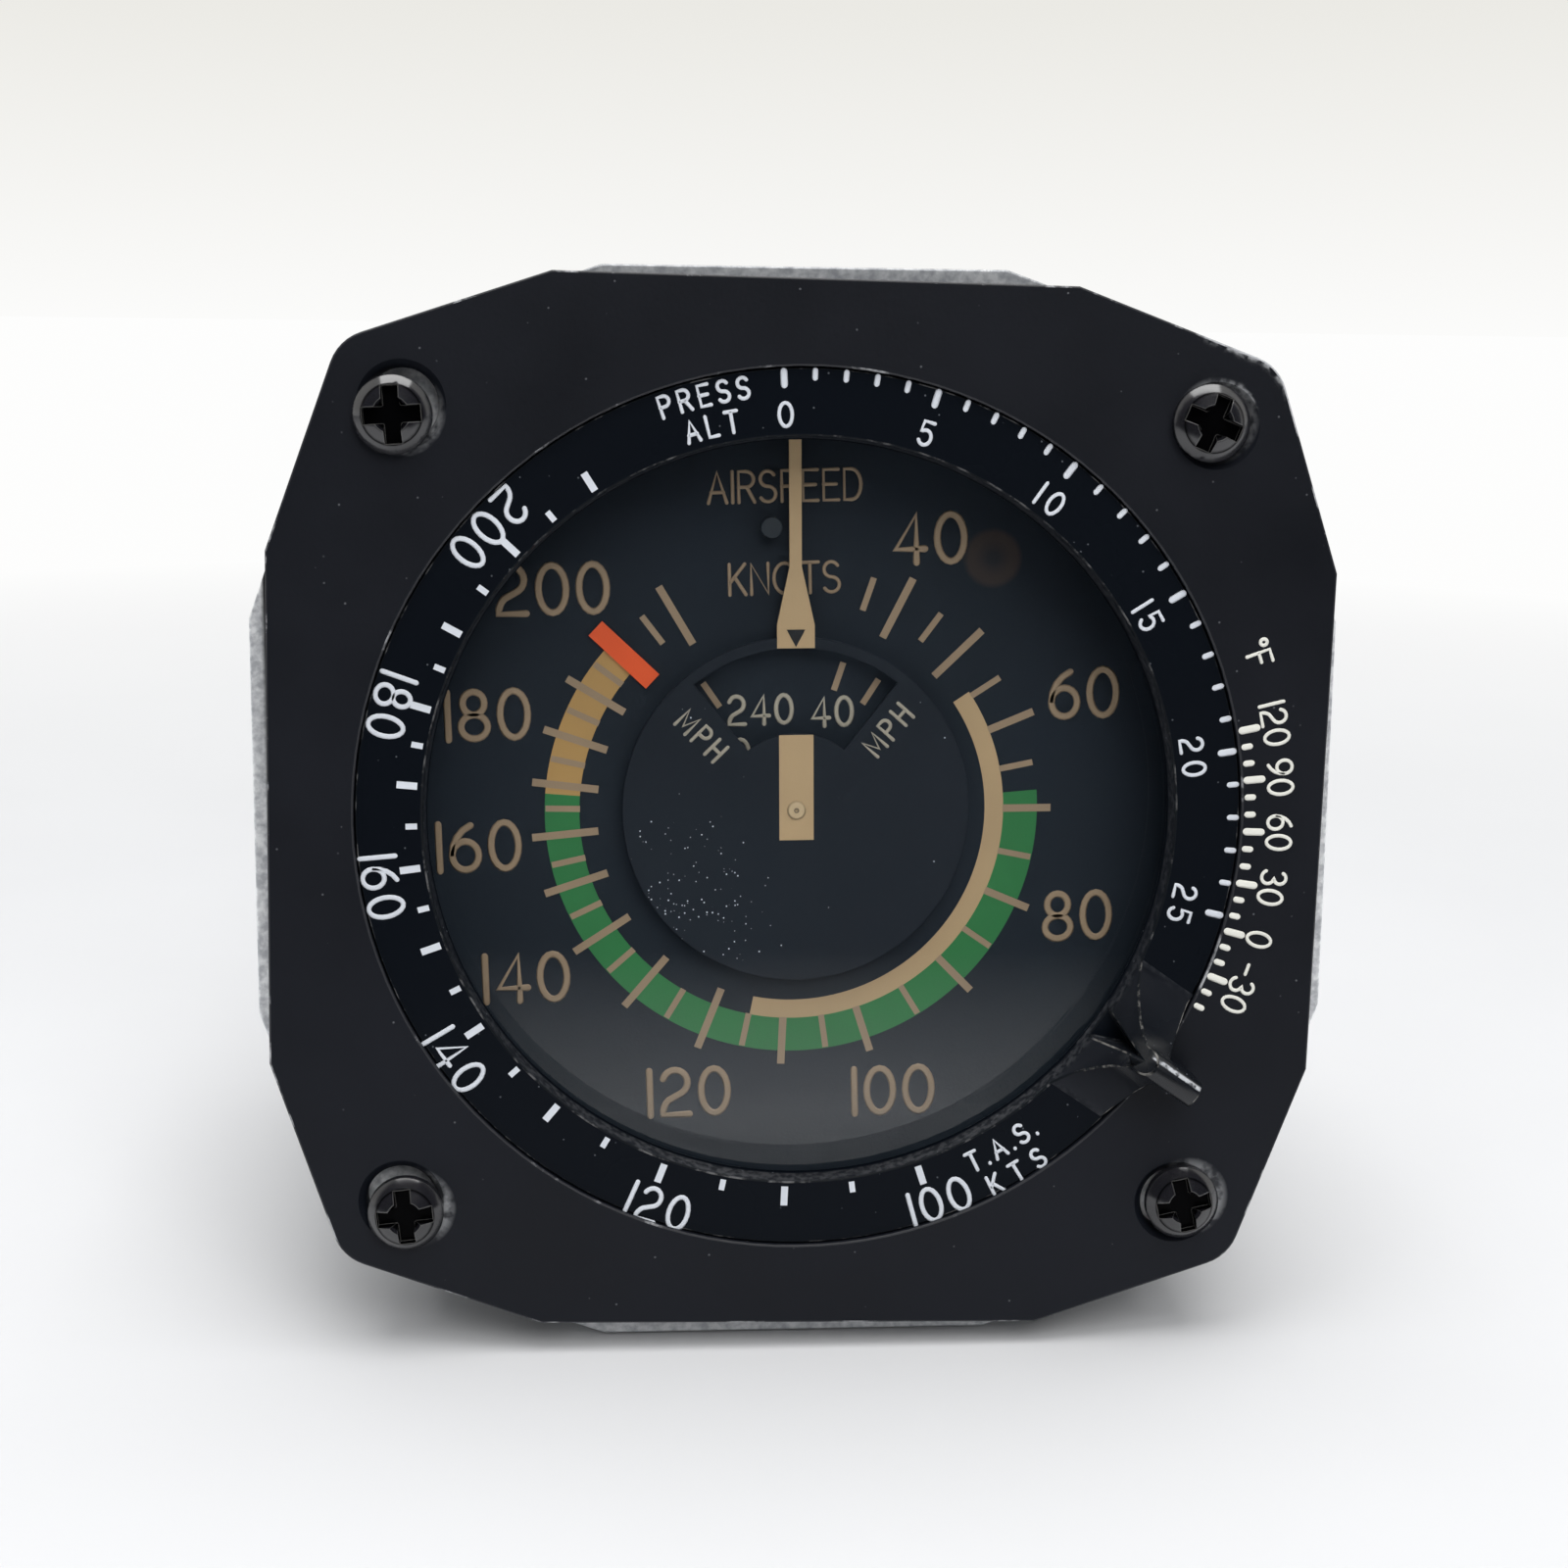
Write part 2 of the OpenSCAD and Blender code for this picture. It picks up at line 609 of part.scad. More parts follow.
// The glass is ground with a step, so that its middle stands forward to the ring's lip
module glass() color("#c8d4da", 0.3) {
    rod(glass_y, gasket_y, glass_r);
    rod(lens_y, glass_y + eps, lens_r);
}

module glass_gasket() color("#222222") washer(gasket_y, shoulder_y, cavity_r + hole_gap, glass_r);

// Dial and pointer

module on_dial() {
    rotate([0, dial_turn, 0]) children();
}

module dial() color("#1c222a") on_dial() {
    difference() {
        rod(dial_y, dial_y + dial_t, dial_r);
        rod(dial_y - eps, dial_y + dial_t + eps, dial_hole_r);
        at_stop() rod(dial_y - eps, dial_y + dial_t + eps, stop_r + press_gap);
    }
    round_about(foot_angles, foot_at) rod(dial_y + dial_t - eps, space_y, foot_r);
}

// The stop pin stands beside the pointer's blade, on its left
module at_stop() {
    side = blade_w / 2 + stop_gap + stop_r;
    translate([-side, 0, sqrt(stop_at * stop_at - side * side)]) children();
}

module zero_stop_pin() color("#6d7278") on_dial() at_stop() rod(pointer_y + end_play, dial_y + dial_t + rub_gap, stop_r);

module pointer() color("#c8a578") rotate([0, pointer_turn, 0]) difference() {
    union() {
        rod(pointer_y, pointer_y + pointer_t, disc_r);
        sheet(pointer_y, pointer_t) polygon([[-root_w / 2, disc_r - 2], [root_w / 2, disc_r - 2],
            [root_w / 2, disc_r + 1], [blade_w / 2, taper_r], [blade_w / 2, pointer_l],
            [-blade_w / 2, pointer_l], [-blade_w / 2, taper_r], [-root_w / 2, disc_r + 1]]);
    }
    intersection() {
        washer(pointer_y - eps, pointer_y + pointer_t + eps, window_in_r, disc_r - window_rim);
        sheet(pointer_y - 1, pointer_t + 2) polygon([[0, 0], 2 * disc_r * [-sin(window_half), cos(window_half)],
            2 * disc_r * [sin(window_half), cos(window_half)]]);
    }
    rod(pointer_y - eps, pointer_y + pointer_t + eps, staff_r + press_gap);
}

module pointer_hub() color("#b08d4a")
    washer(pointer_y + pointer_t, dial_y + dial_t + 0.8, staff_r + press_gap, hub_r);

module handstaff() color("#9a9da2") rod(pointer_y - 0.1, base_back_y, staff_r);

// Movement frame

module front_plate() color("#b49b5e") difference() {
    rod(front_plate_y, space_y, front_plate_r);
    rod(front_plate_y - eps, space_y + eps, bush_r + press_gap);
    at_sector() rod(front_plate_y - eps, space_y + eps, bush_r + press_gap);
    round_about(pillar_angles, pillar_at) rod(front_plate_y - eps, space_y + eps, frame_screw_r + hole_gap);
    on_dial() round_about(foot_angles, foot_at) rod(front_plate_y - eps, space_y + eps, foot_r + press_gap);
    at_spring_stud() rod(front_plate_y - eps, space_y + eps, stud_pin_r + press_gap);
}

module base_plate() color("#b49b5e") difference() {
    rod(base_plate_y, base_back_y, base_plate_r);
    rod(base_plate_y - eps, base_back_y + eps, bush_r + press_gap);
    at_sector() rod(base_plate_y - eps, base_back_y + eps, bush_r + press_gap);
    translate([capsule_x, 0, 0]) rod(base_plate_y - eps, base_back_y + eps, stud_r + 1);
    round_about(pillar_angles, pillar_at) rod(base_plate_y - eps, base_back_y + eps, frame_screw_r + press_gap);
    round_about(post_angles, post_at) rod(base_plate_y - eps, base_back_y + eps, frame_screw_r + press_gap);
    at_bracket_screws() rod(base_plate_y - eps, base_back_y + eps, frame_screw_r + press_gap);
}

module pillars() color("#a7a9ad") round_about(pillar_angles, pillar_at) {
    difference() {
        rod(space_y, base_plate_y, pillar_r);
        rod(space_y - eps, space_y + thread_l + 0.5, frame_screw_r + press_gap);
    }
    rod(base_plate_y - eps, base_back_y, frame_screw_r);
}

module pillar_screws() color("#77797d") round_about(pillar_angles, pillar_at)
    frame_screw(front_plate_y, front_plate_t + thread_l);

module mount_posts() color("#a7a9ad") round_about(post_angles, post_at) {
    difference() {
        rod(base_back_y, rear_wall_y, post_r);
        rod(rear_wall_y - thread_l - 0.5, rear_wall_y + eps, frame_screw_r + press_gap);
    }
    rod(base_plate_y, base_back_y + eps, frame_screw_r);
}

module post_screws() color("#26272a") round_about(post_angles, post_at) mirror([0, 1, 0])
    frame_screw(-rear_y, rear_wall_t + thread_l);

module at_sector() {
    translate([sector_x, 0, sector_z]) children();
}

module bush(y0, y1, bore) {
    washer(y0, y1, bore + bush_gap, bush_r);
}

module handstaff_front_bush() color("#c29a4b") bush(front_plate_y, space_y, staff_r);

module handstaff_rear_bush() color("#c29a4b") bush(base_plate_y, base_back_y, staff_r);

module sector_front_bush() color("#c29a4b") at_sector() bush(front_plate_y, space_y, arbor_r);

module sector_rear_bush() color("#c29a4b") at_sector() bush(base_plate_y, base_back_y, arbor_r);

// Pinion and sector, drawn with the pointer at zero

module pinion() color("#c9a45a") difference() {
    sheet(sector_y + (sector_t - pinion_l) / 2, pinion_l) polygon([for (i = [0:pinion_teeth - 1])
        each tooth(pinion_pitch_r, pinion_teeth, 180 + sector_dir + i * 360 / pinion_teeth)]);
    rod(sector_y - pinion_l, sector_y + pinion_l, staff_r + press_gap);
}

// What turns with the sector, at its place for the pointer at zero
module on_sector() {
    at_sector() rotate([0, sector_swing / 2, 0]) children();
}

module sector_gear() color("#c9a45a") on_sector() {
    step = 360 / wheel_teeth;
    first = sector_dir - (sector_teeth - 1) / 2 * step + sector_phase();
    hub = bush_r + 1;
    rim_r = wheel_pitch_r - 3 * gear_module - 1;
    edge = (sector_teeth / 2 + 0.4) * step;
    difference() {
        union() {
            sheet(sector_y, sector_t) polygon(concat([[0, 0]],
                [for (i = [0:sector_teeth - 1]) each tooth(wheel_pitch_r, wheel_teeth, first + i * step)]));
            rod(sector_y, sector_y + sector_t, hub);
            sheet(sector_y, sector_t) polygon([[-hub * 0.6, 0], [-pin_r - 0.8, pin_at], [pin_r + 0.8, pin_at], [hub * 0.6, 0]]);
            translate([0, 0, pin_at]) rod(sector_y, sector_y + sector_t, pin_r + 0.8);
        }
        intersection() {
            washer(sector_y - eps, sector_y + sector_t + eps, hub + 2, rim_r);
            sheet(sector_y - 1, sector_t + 2) polygon([[0, 0], 2 * rim_r * [cos(sector_dir - edge * 0.6), sin(sector_dir - edge * 0.6)],
                2 * rim_r * [cos(sector_dir + edge * 0.6), sin(sector_dir + edge * 0.6)]]);
        }
        rod(sector_y - eps, sector_y + sector_t + eps, arbor_r + press_gap);
        translate([0, 0, pin_at]) rod(sector_y - eps, sector_y + sector_t + eps, pin_r + press_gap);
    }
}

// Turn of the sector's teeth that puts a gap on the line of centres when the pointer is at zero
function sector_phase() = let (step = 360 / wheel_teeth, lean = sector_swing / 2 + (sector_teeth % 2 == 0 ? 0 : step / 2))
    lean - step * round(lean / step);

module sector_arbor() color("#9a9da2") at_sector() rod(front_plate_y, base_back_y, arbor_r);

module sector_pin() color("#9a9da2") on_sector() translate([0, 0, pin_at])
    rod(sector_y, sector_y + sector_t + pin_l, pin_r);

// Rocking shaft, drawn with the pointer at zero

module on_rocker() {
    translate([shaft_x, shaft_y, 0]) rotate([0, 0, rocker_swing / 2]) children();
}

module rocker_shaft() color("#9a9da2") translate([shaft_x, shaft_y, 0]) {
    translate([0, 0, shaft_bottom_z]) cylinder(r = shaft_r, h = shaft_top_z - shaft_bottom_z);
    translate([0, 0, shaft_bottom_z - pivot_l]) cylinder(r = pivot_r, h = shaft_top_z - shaft_bottom_z + 2 * pivot_l);
}

// A blade with an eye that is pressed on the shaft
module rocker_blade(l, tip_r) {
    difference() {
        union() {
            cylinder(r = shaft_r + rocker_t, h = rocker_w);
            translate([-rocker_t / 2, -l, 0]) cube([rocker_t, l, rocker_w]);
            translate([0, -l, 0]) cylinder(r = tip_r, h = rocker_w);
        }
        translate([0, 0, -eps]) cylinder(r = shaft_r + press_gap, h = rocker_w + 2 * eps);
    }
}

module rocker_arm() color("#8d9095") on_rocker()
    translate([0, 0, arm_z - rocker_w / 2]) rocker_blade(arm_l, nose_r);

module rocker_lever() color("#8d9095") on_rocker()
    translate([0, 0, -rocker_w / 2]) rotate([0, 0, 90]) rocker_blade(lever_l + 2 * stud_r, rocker_t / 2);

module rocker_bracket() color("#a7a9ad") difference() {
    low_z = shaft_bottom_z - rub_gap - bracket_t;
    high_z = shaft_top_z + rub_gap;
    front_y = shaft_y - bracket_w / 2;
    union() {
        translate([shaft_x - bracket_w / 2, base_plate_y - bracket_t, low_z])
            cube([bracket_w, bracket_t, high_z + bracket_t - low_z]);
        for (z = [low_z, high_z]) translate([shaft_x, shaft_y, z]) {
            cylinder(d = bracket_w, h = bracket_t);
            translate([-bracket_w / 2, 0, 0]) cube([bracket_w, base_plate_y - shaft_y, bracket_t]);
        }
    }
    translate([shaft_x, shaft_y, low_z - eps]) cylinder(r = pivot_screw_r + press_gap, h = high_z - low_z + 2);
    at_bracket_screws() rod(front_y, base_back_y, frame_screw_r + press_gap);
}

module at_bracket_screws() {
    for (z = [shaft_bottom_z + 1, shaft_top_z - 1]) translate([shaft_x, 0, z]) children();
}

module bracket_screws() color("#77797d") at_bracket_screws() mirror([0, 1, 0])
    frame_screw(-base_back_y, base_plate_t + bracket_t);

// Hollow-ended screws that the shaft's pivots run in
module rocker_pivot_screws() color("#77797d") translate([shaft_x, shaft_y, 0]) {
    l = bracket_t + rub_gap + edge_break;
    ends = [shaft_bottom_z - end_play, shaft_top_z + end_play];
    for (side = [0, 1]) translate([0, 0, ends[side]]) mirror([0, 0, 1 - side]) difference() {
        cylinder(r = pivot_screw_r, h = l);
        translate([0, 0, -eps]) cylinder(r = pivot_r + bush_gap, h = pivot_l + end_play);
    }
}

// Hairspring

module hairspring_collet() color("#b08d4a")
    washer(spring_y - spring_w / 2, spring_y + spring_w / 2, staff_r + press_gap, spring_in_r);

// A point of the spiral: step i of the strip, on its inner or outer side
function spring_point(i, side) = let (a = spring_angle + 360 * spring_turns * i / spring_steps,
    inner = spring_in_r + spring_t / 2 + thread_gap,
    outer = spring_r - spring_t / 2,
    r = inner + (outer - inner) * i / spring_steps + side * spring_t / 2) r * [cos(a), sin(a)];

module hairspring() color("#5d6a80") sheet(spring_y - spring_w / 2, spring_w)
    polygon(concat([for (i = [0:spring_steps]) spring_point(i, 1)],
        [for (i = [spring_steps:-1:0]) spring_point(i, -1)]));

module at_spring_stud() {
    r = spring_r + stud_pin_r + thread_gap;
    translate([r * cos(spring_angle), 0, r * sin(spring_angle)]) children();
}

module hairspring_stud() color("#b08d4a") at_spring_stud()
    rod(front_plate_y, spring_y + spring_w / 2 + edge_break, stud_pin_r);

// Capsule

// Radius of the flat land at the centre, width of the flat rim and number of waves between them
land_r = stem_r + 1.7;
rim_w = 1.6;
waves = 4;
wave_steps = 8 * waves;

// Height of the wall above the rim, a share s of the way from the land to the rim
function wave(s) = capsule_wall + (capsule_half_t - capsule_wall) * (1 - s)
    + wave_h * min(1, 3 * (1 - s)) * sin(360 * waves * s);

module capsule_half(bore) {
    outer_r = capsule_r - rim_w;
    slope = [for (i = [0:wave_steps]) let (s = i / wave_steps) [land_r + (outer_r - land_r) * s, -wave(s)]];
    line = concat([[bore, -capsule_half_t]], slope, [[capsule_r, -capsule_wall]]);
    turned() polygon(concat(line, [for (i = [len(line) - 1:-1:0]) line[i] + [0, capsule_wall]]));
}

module at_capsule() {
    translate([capsule_x, 0, 0]) children();
}

module capsule_front_half() color("#c08a52") at_capsule() translate([0, capsule_rim_y, 0]) capsule_half(0);

module capsule_rear_half() color("#c08a52") at_capsule() {
    translate([0, capsule_rim_y, 0]) mirror([0, 1, 0]) capsule_half(port_bleed_r);
    washer(capsule_back_y - eps, rear_wall_y, port_bleed_r, stem_r);
    washer(rear_wall_y - bracket_t, rear_wall_y, port_bleed_r, stem_r + 2);
}

// Domed stud on the capsule that pushes the lever, drawn with the capsule at rest
module capsule_stud() color("#c29a4b") at_capsule() {
    lean = rocker_swing / 2;
    tip_y = shaft_y + lever_l * tan(lean) + (rocker_t / 2 + stud_r) / cos(lean) - stud_r + stud_gap;
    rod(tip_y + stud_r, capsule_y, stud_r);
    translate([0, tip_y + stud_r, 0]) sphere(stud_r);
    rod(capsule_y - 2 * capsule_wall, capsule_y, stud_r + 1.5);
}

case();
mounting_flange();
bezel_plate();
mounting_screws();
tas_ring();
ring_washer();
glass_retainer();
glass();
glass_gasket();
dial();
zero_stop_pin();
pointer();
pointer_hub();
handstaff();
pinion();
front_plate();
base_plate();
pillars();
pillar_screws();
mount_posts();
post_screws();
handstaff_front_bush();
handstaff_rear_bush();
sector_front_bush();
sector_rear_bush();
sector_gear();
sector_arbor();
sector_pin();
rocker_bracket();
bracket_screws();
rocker_pivot_screws();
rocker_shaft();
rocker_arm();
rocker_lever();
hairspring_collet();
hairspring();
hairspring_stud();
capsule_front_half();
capsule_rear_half();
capsule_stud();
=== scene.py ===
# Panel-mounted true-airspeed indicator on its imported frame. The pieces come in the order in which the
# instrument is put together, from the barrel and the movement out to the dial, the glass, the ring,
# the bezel plate and its screws, and then the table, the light and the camera.
import json
import math

import bmesh
import bpy
from mathutils import Matrix, Vector


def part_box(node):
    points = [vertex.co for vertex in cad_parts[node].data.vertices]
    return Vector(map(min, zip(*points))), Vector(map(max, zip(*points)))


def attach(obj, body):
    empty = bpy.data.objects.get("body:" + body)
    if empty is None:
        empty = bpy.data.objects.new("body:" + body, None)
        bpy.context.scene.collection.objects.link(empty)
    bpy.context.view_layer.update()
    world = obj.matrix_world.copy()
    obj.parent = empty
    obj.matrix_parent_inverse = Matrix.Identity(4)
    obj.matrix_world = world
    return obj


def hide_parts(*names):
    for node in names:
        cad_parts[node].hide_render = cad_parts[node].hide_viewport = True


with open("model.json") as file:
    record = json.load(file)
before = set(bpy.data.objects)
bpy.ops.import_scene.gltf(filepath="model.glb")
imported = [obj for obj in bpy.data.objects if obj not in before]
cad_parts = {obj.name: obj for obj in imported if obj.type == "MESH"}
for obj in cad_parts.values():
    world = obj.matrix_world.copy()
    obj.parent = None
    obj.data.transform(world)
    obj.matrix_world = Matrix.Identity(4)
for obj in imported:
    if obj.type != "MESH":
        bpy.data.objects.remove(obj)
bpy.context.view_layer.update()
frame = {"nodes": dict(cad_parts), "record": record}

# Barrel with its rear wall and two port bosses, turned from aluminium and painted black.
# The paint has a fine orange-peel skin and is rubbed thin along the turned edges.


def shade(red, green, blue):
    """A printed colour, 0 to 255, as the linear colour that a shader takes."""
    parts = [channel / 255 for channel in (red, green, blue)]
    return [part / 12.92 if part <= 0.04045 else ((part + 0.055) / 1.055) ** 2.4 for part in parts]


def add_node(tree, kind, **settings):
    node = tree.nodes.new("ShaderNode" + kind)
    for key, value in settings.items():
        setattr(node, key, value)
    return node


def feed(tree, socket, value):
    """Give a socket a plain number or colour, or the output of another node."""
    if isinstance(value, bpy.types.NodeSocket):
        tree.links.new(value, socket)
    else:
        socket.default_value = (*value, 1) if socket.type == "RGBA" else value


def give(tree, label, value):
    """Set one input of a material's shader."""
    feed(tree, tree.nodes["Principled BSDF"].inputs[label], value)


def new_finish(name, colour, roughness, metallic=0.0):
    finish = bpy.data.materials.new(name)
    finish.use_nodes = True
    give(finish.node_tree, "Base Color", colour)
    give(finish.node_tree, "Roughness", roughness)
    give(finish.node_tree, "Metallic", metallic)
    return finish, finish.node_tree


def dress(finish, *nodes):
    """Give pieces of the frame their finish."""
    for node in nodes:
        frame["nodes"][node].material_slots[0].material = finish


def start_group(name, inputs, outputs):
    group = bpy.data.node_groups.new(name, "ShaderNodeTree")
    for label, value in inputs.items():
        socket = group.interface.new_socket(label, in_out="INPUT", socket_type="NodeSocketFloat")
        socket.default_value = value
    for label, kind in outputs.items():
        group.interface.new_socket(label, in_out="OUTPUT", socket_type=kind)
    return group, group.nodes.new("NodeGroupInput").outputs, group.nodes.new("NodeGroupOutput").inputs


def place_group(tree, group, **values):
    node = add_node(tree, "Group", node_tree=group)
    for label, value in values.items():
        feed(tree, node.inputs[label.capitalize()], value)
    return node


def ramp(tree, source, low, high, dark=0.0, light=1.0):
    """Stretch a value so that low becomes dark and high becomes light."""
    node = add_node(tree, "MapRange")
    limits = {"From Min": low, "From Max": high, "To Min": dark, "To Max": light}
    for label, value in {"Value": source, **limits}.items():
        feed(tree, node.inputs[label], value)
    return node.outputs["Result"]


def reckon(tree, operation, *values):
    """One step of arithmetic on plain values."""
    node = add_node(tree, "Math", operation=operation)
    for socket, value in zip(node.inputs, values):
        feed(tree, socket, value)
    return node.outputs["Value"]


def times(tree, product, *others):
    """The product of two or more values."""
    for other in others:
        product = reckon(tree, "MULTIPLY", product, other)
    return product


def blend(tree, mask, under, over):
    """Lay one colour over another where the mask is white; each is a socket or a plain colour."""
    node = add_node(tree, "Mix", data_type="RGBA")
    sockets = {socket.identifier: socket for socket in [*node.inputs, *node.outputs]}
    for label, value in (("Factor_Float", mask), ("A_Color", under), ("B_Color", over)):
        feed(tree, sockets[label], value)
    return sockets["Result_Color"]


def spot(tree):
    """Where a point lies on the piece, in metres."""
    return add_node(tree, "TexCoord").outputs["Object"]


def noise(tree, scale, detail=2.0, place=None, roughness=0.5):
    """Cloudy patches, which are finer at a larger scale."""
    node = add_node(tree, "TexNoise")
    place = spot(tree) if place is None else place
    settings = {"Vector": place, "Scale": scale, "Detail": detail, "Roughness": roughness}
    for label, value in settings.items():
        feed(tree, node.inputs[label], value)
    return node.outputs["Fac"]


def bump(tree, height, strength):
    """The lean that a fine relief gives to a surface."""
    node = add_node(tree, "Bump")
    for label, value in {"Strength": strength, "Distance": 0.0001, "Height": height}.items():
        feed(tree, node.inputs[label], value)
    return node.outputs["Normal"]


# The skin of a painted, moulded or turned surface: a slow change of gloss and a fine bump
surface_grain, grain_in, grain_out = start_group(
    "surface_grain",
    {"Scale": 400.0, "Bump": 0.1, "Smooth": 0.4, "Rough": 0.6},
    {"Roughness": "NodeSocketFloat", "Normal": "NodeSocketVector", "Tone": "NodeSocketFloat"},
)
slow_patches = noise(surface_grain, times(surface_grain, grain_in["Scale"], 0.15), 5.0)
fine_patches = noise(surface_grain, times(surface_grain, grain_in["Scale"], 6.0), 3.0)
grain_gloss = ramp(surface_grain, slow_patches, 0.3, 0.7, grain_in["Smooth"], grain_in["Rough"])
feed(surface_grain, grain_out["Roughness"], grain_gloss)
feed(surface_grain, grain_out["Normal"], bump(surface_grain, fine_patches, grain_in["Bump"]))
feed(surface_grain, grain_out["Tone"], slow_patches)


def give_grain(tree, **values):
    """Give a material the grain's gloss and bump, and hand back the grain's tone."""
    grain = place_group(tree, surface_grain, **values)
    give(tree, "Roughness", grain.outputs["Roughness"])
    give(tree, "Normal", grain.outputs["Normal"])
    return grain.outputs["Tone"]


# Rubbed patches where paint has gone: broken blots whose share of the surface is the amount
rubbed_paint, rubbed_in, rubbed_out = start_group(
    "rubbed_paint", {"Scale": 300.0, "Amount": 0.3}, {"Mask": "NodeSocketFloat"}
)
rubbed_patches = noise(rubbed_paint, rubbed_in["Scale"], 6.0, roughness=0.65)
rubbed_sum = reckon(rubbed_paint, "ADD", rubbed_patches, rubbed_in["Amount"])
feed(rubbed_paint, rubbed_out["Mask"], ramp(rubbed_paint, rubbed_sum, 0.8, 0.9))


def break_edges(node, width, edge_finish=None, join_flats=True, sharp=32):
    """Weld a machined piece's facets and round its sharp edges, with a finish of their own."""
    piece = frame["nodes"][node]
    weld = piece.modifiers.new("weld_facets", "WELD")
    weld.merge_threshold = 0.000001
    if join_flats:
        flats = piece.modifiers.new("join_flats", "DECIMATE")
        flats.decimate_type = "DISSOLVE"
        flats.angle_limit = math.radians(0.3)
    edge = piece.modifiers.new("break_edges", "BEVEL")
    edge.width = width
    edge.segments = 2
    edge.limit_method = "ANGLE"
    edge.angle_limit = math.radians(sharp)
    edge.use_clamp_overlap = False
    edge.harden_normals = True
    if edge_finish:
        piece.data.materials.append(edge_finish)
        edge.material = 1


case_paint, case_tree = new_finish("case_paint", shade(30, 31, 34), 0.5)
case_tone = give_grain(case_tree, scale=500.0, bump=0.25, smooth=0.38, rough=0.6)
case_patches = ramp(case_tree, case_tone, 0.3, 0.75)
give(case_tree, "Base Color", blend(case_tree, case_patches, shade(26, 27, 30), shade(42, 43, 46)))
bare_edge, bare_tree = new_finish("rubbed_edge", shade(60, 62, 66), 0.4, 0.3)
bare_mask = place_group(bare_tree, rubbed_paint, scale=110.0, amount=0.24).outputs["Mask"]
give(bare_tree, "Base Color", blend(bare_tree, bare_mask, shade(32, 33, 36), shade(150, 152, 156)))
give(bare_tree, "Metallic", bare_mask)
dress(case_paint, "case")
break_edges("case", 0.00025, bare_edge)

# Pipe threads cut in the two rear ports, left as bare turned metal.
# Each is a ridge that winds down the hole from just inside its mouth.
port_across = 0.0120052
port_radius = 0.00435
port_mouth = 0.0551
port_pitch = 0.00094
port_crest = 0.00032


def make_object(name, mesh, finish):
    data = bpy.data.meshes.new(name)
    mesh.to_mesh(data)
    mesh.free()
    piece = bpy.data.objects.new(name, data)
    bpy.context.collection.objects.link(piece)
    data.materials.append(finish)
    return piece


def finish_piece(name, mesh, finish, body):
    """Make a mesh that is already in its place into a piece that rides on a body."""
    piece = make_object(name, mesh, finish)
    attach(piece, body)
    return piece


def wind_thread(mesh, place, radius, crest, start, pitch, turns, facets):
    """Wind a ridge round a line along Y, to the rear or, with a pitch below zero, to the front."""
    older = set(mesh.verts)
    ridge = [
        mesh.verts.new((radius + height, start + along * abs(pitch), 0))
        for along, height in ((-0.45, 0.0), (0.0, crest), (0.45, 0.0))
    ]
    ridge_edges = [mesh.edges.new(pair) for pair in zip(ridge, ridge[1:])]
    bmesh.ops.spin(
        mesh, geom=ridge + ridge_edges, cent=(0, 0, 0), axis=(0, 1, 0),
        dvec=(0, pitch / facets, 0), angle=math.tau * turns, steps=facets * turns,
    )
    thread = [corner for corner in mesh.verts if corner not in older]
    bmesh.ops.translate(mesh, verts=thread, vec=place)


turned_metal, turned_tree = new_finish("turned_aluminium", shade(168, 170, 174), 0.34, 1.0)
give_grain(turned_tree, scale=900.0, bump=0.08, smooth=0.26, rough=0.42)
thread_mesh = bmesh.new()
for side in (-1, 1):
    port_place = (side * port_across, 0, 0)
    wind_thread(thread_mesh, port_place, port_radius, -port_crest, port_mouth - 0.0008, -port_pitch, 7, 24)
bmesh.ops.recalc_face_normals(thread_mesh, faces=thread_mesh.faces)
finish_piece("port_threads", thread_mesh, turned_metal, "housing")

# Movement: stamped brass plates and gears, turned steel arbors, aluminium posts and levers,
# and the soldered bronze capsule. It is sealed in the case, and only its posts' screws show at the back.
brass_finish, brass_tree = new_finish("stamped_brass", shade(196, 160, 92), 0.32, 1.0)
brass_tone = give_grain(brass_tree, scale=700.0, bump=0.06, smooth=0.24, rough=0.42)
give(brass_tree, "Base Color", blend(brass_tree, brass_tone, shade(178, 140, 76), shade(212, 178, 110)))
steel_finish, steel_tree = new_finish("turned_steel", shade(150, 152, 156), 0.3, 1.0)
give_grain(steel_tree, scale=900.0, bump=0.06, smooth=0.22, rough=0.4)
bronze_finish, bronze_tree = new_finish("formed_bronze", shade(190, 132, 84), 0.34, 1.0)
give_grain(bronze_tree, scale=600.0, bump=0.05, smooth=0.26, rough=0.44)
blue_steel, blue_tree = new_finish("blued_spring_steel", shade(70, 84, 120), 0.28, 1.0)
give_grain(blue_tree, scale=900.0, bump=0.04, smooth=0.2, rough=0.36)
rubber_finish, rubber_tree = new_finish("gasket_rubber", shade(30, 30, 31), 0.8)
give_grain(rubber_tree, scale=800.0, bump=0.3, smooth=0.7, rough=0.9)
slot_finish = {
    "brass": brass_finish,
    "steel": steel_finish,
    "aluminium": turned_metal,
    "capsule_bronze": bronze_finish,
    "gasket_rubber": rubber_finish,
}
for subpart in frame["record"]["subparts"]:
    if subpart["material_slot"] in slot_finish:
        dress(slot_finish[subpart["material_slot"]], subpart["node"])
dress(blue_steel, "hairspring")

# Dial: a disc of aluminium sheet in matte black, with its scale screen-printed in tan ink.
# The arcs and marks are thin films of ink on its face, and a faint round stain lies beside the 40.
dial_face = 0.0017
dial_place = Matrix.Translation((-0.0002, 0, -0.0003)) @ Matrix.Rotation(math.radians(-2.0), 4, "Y")
on_dial = (dial_place, dial_face, "housing", "dial_black")


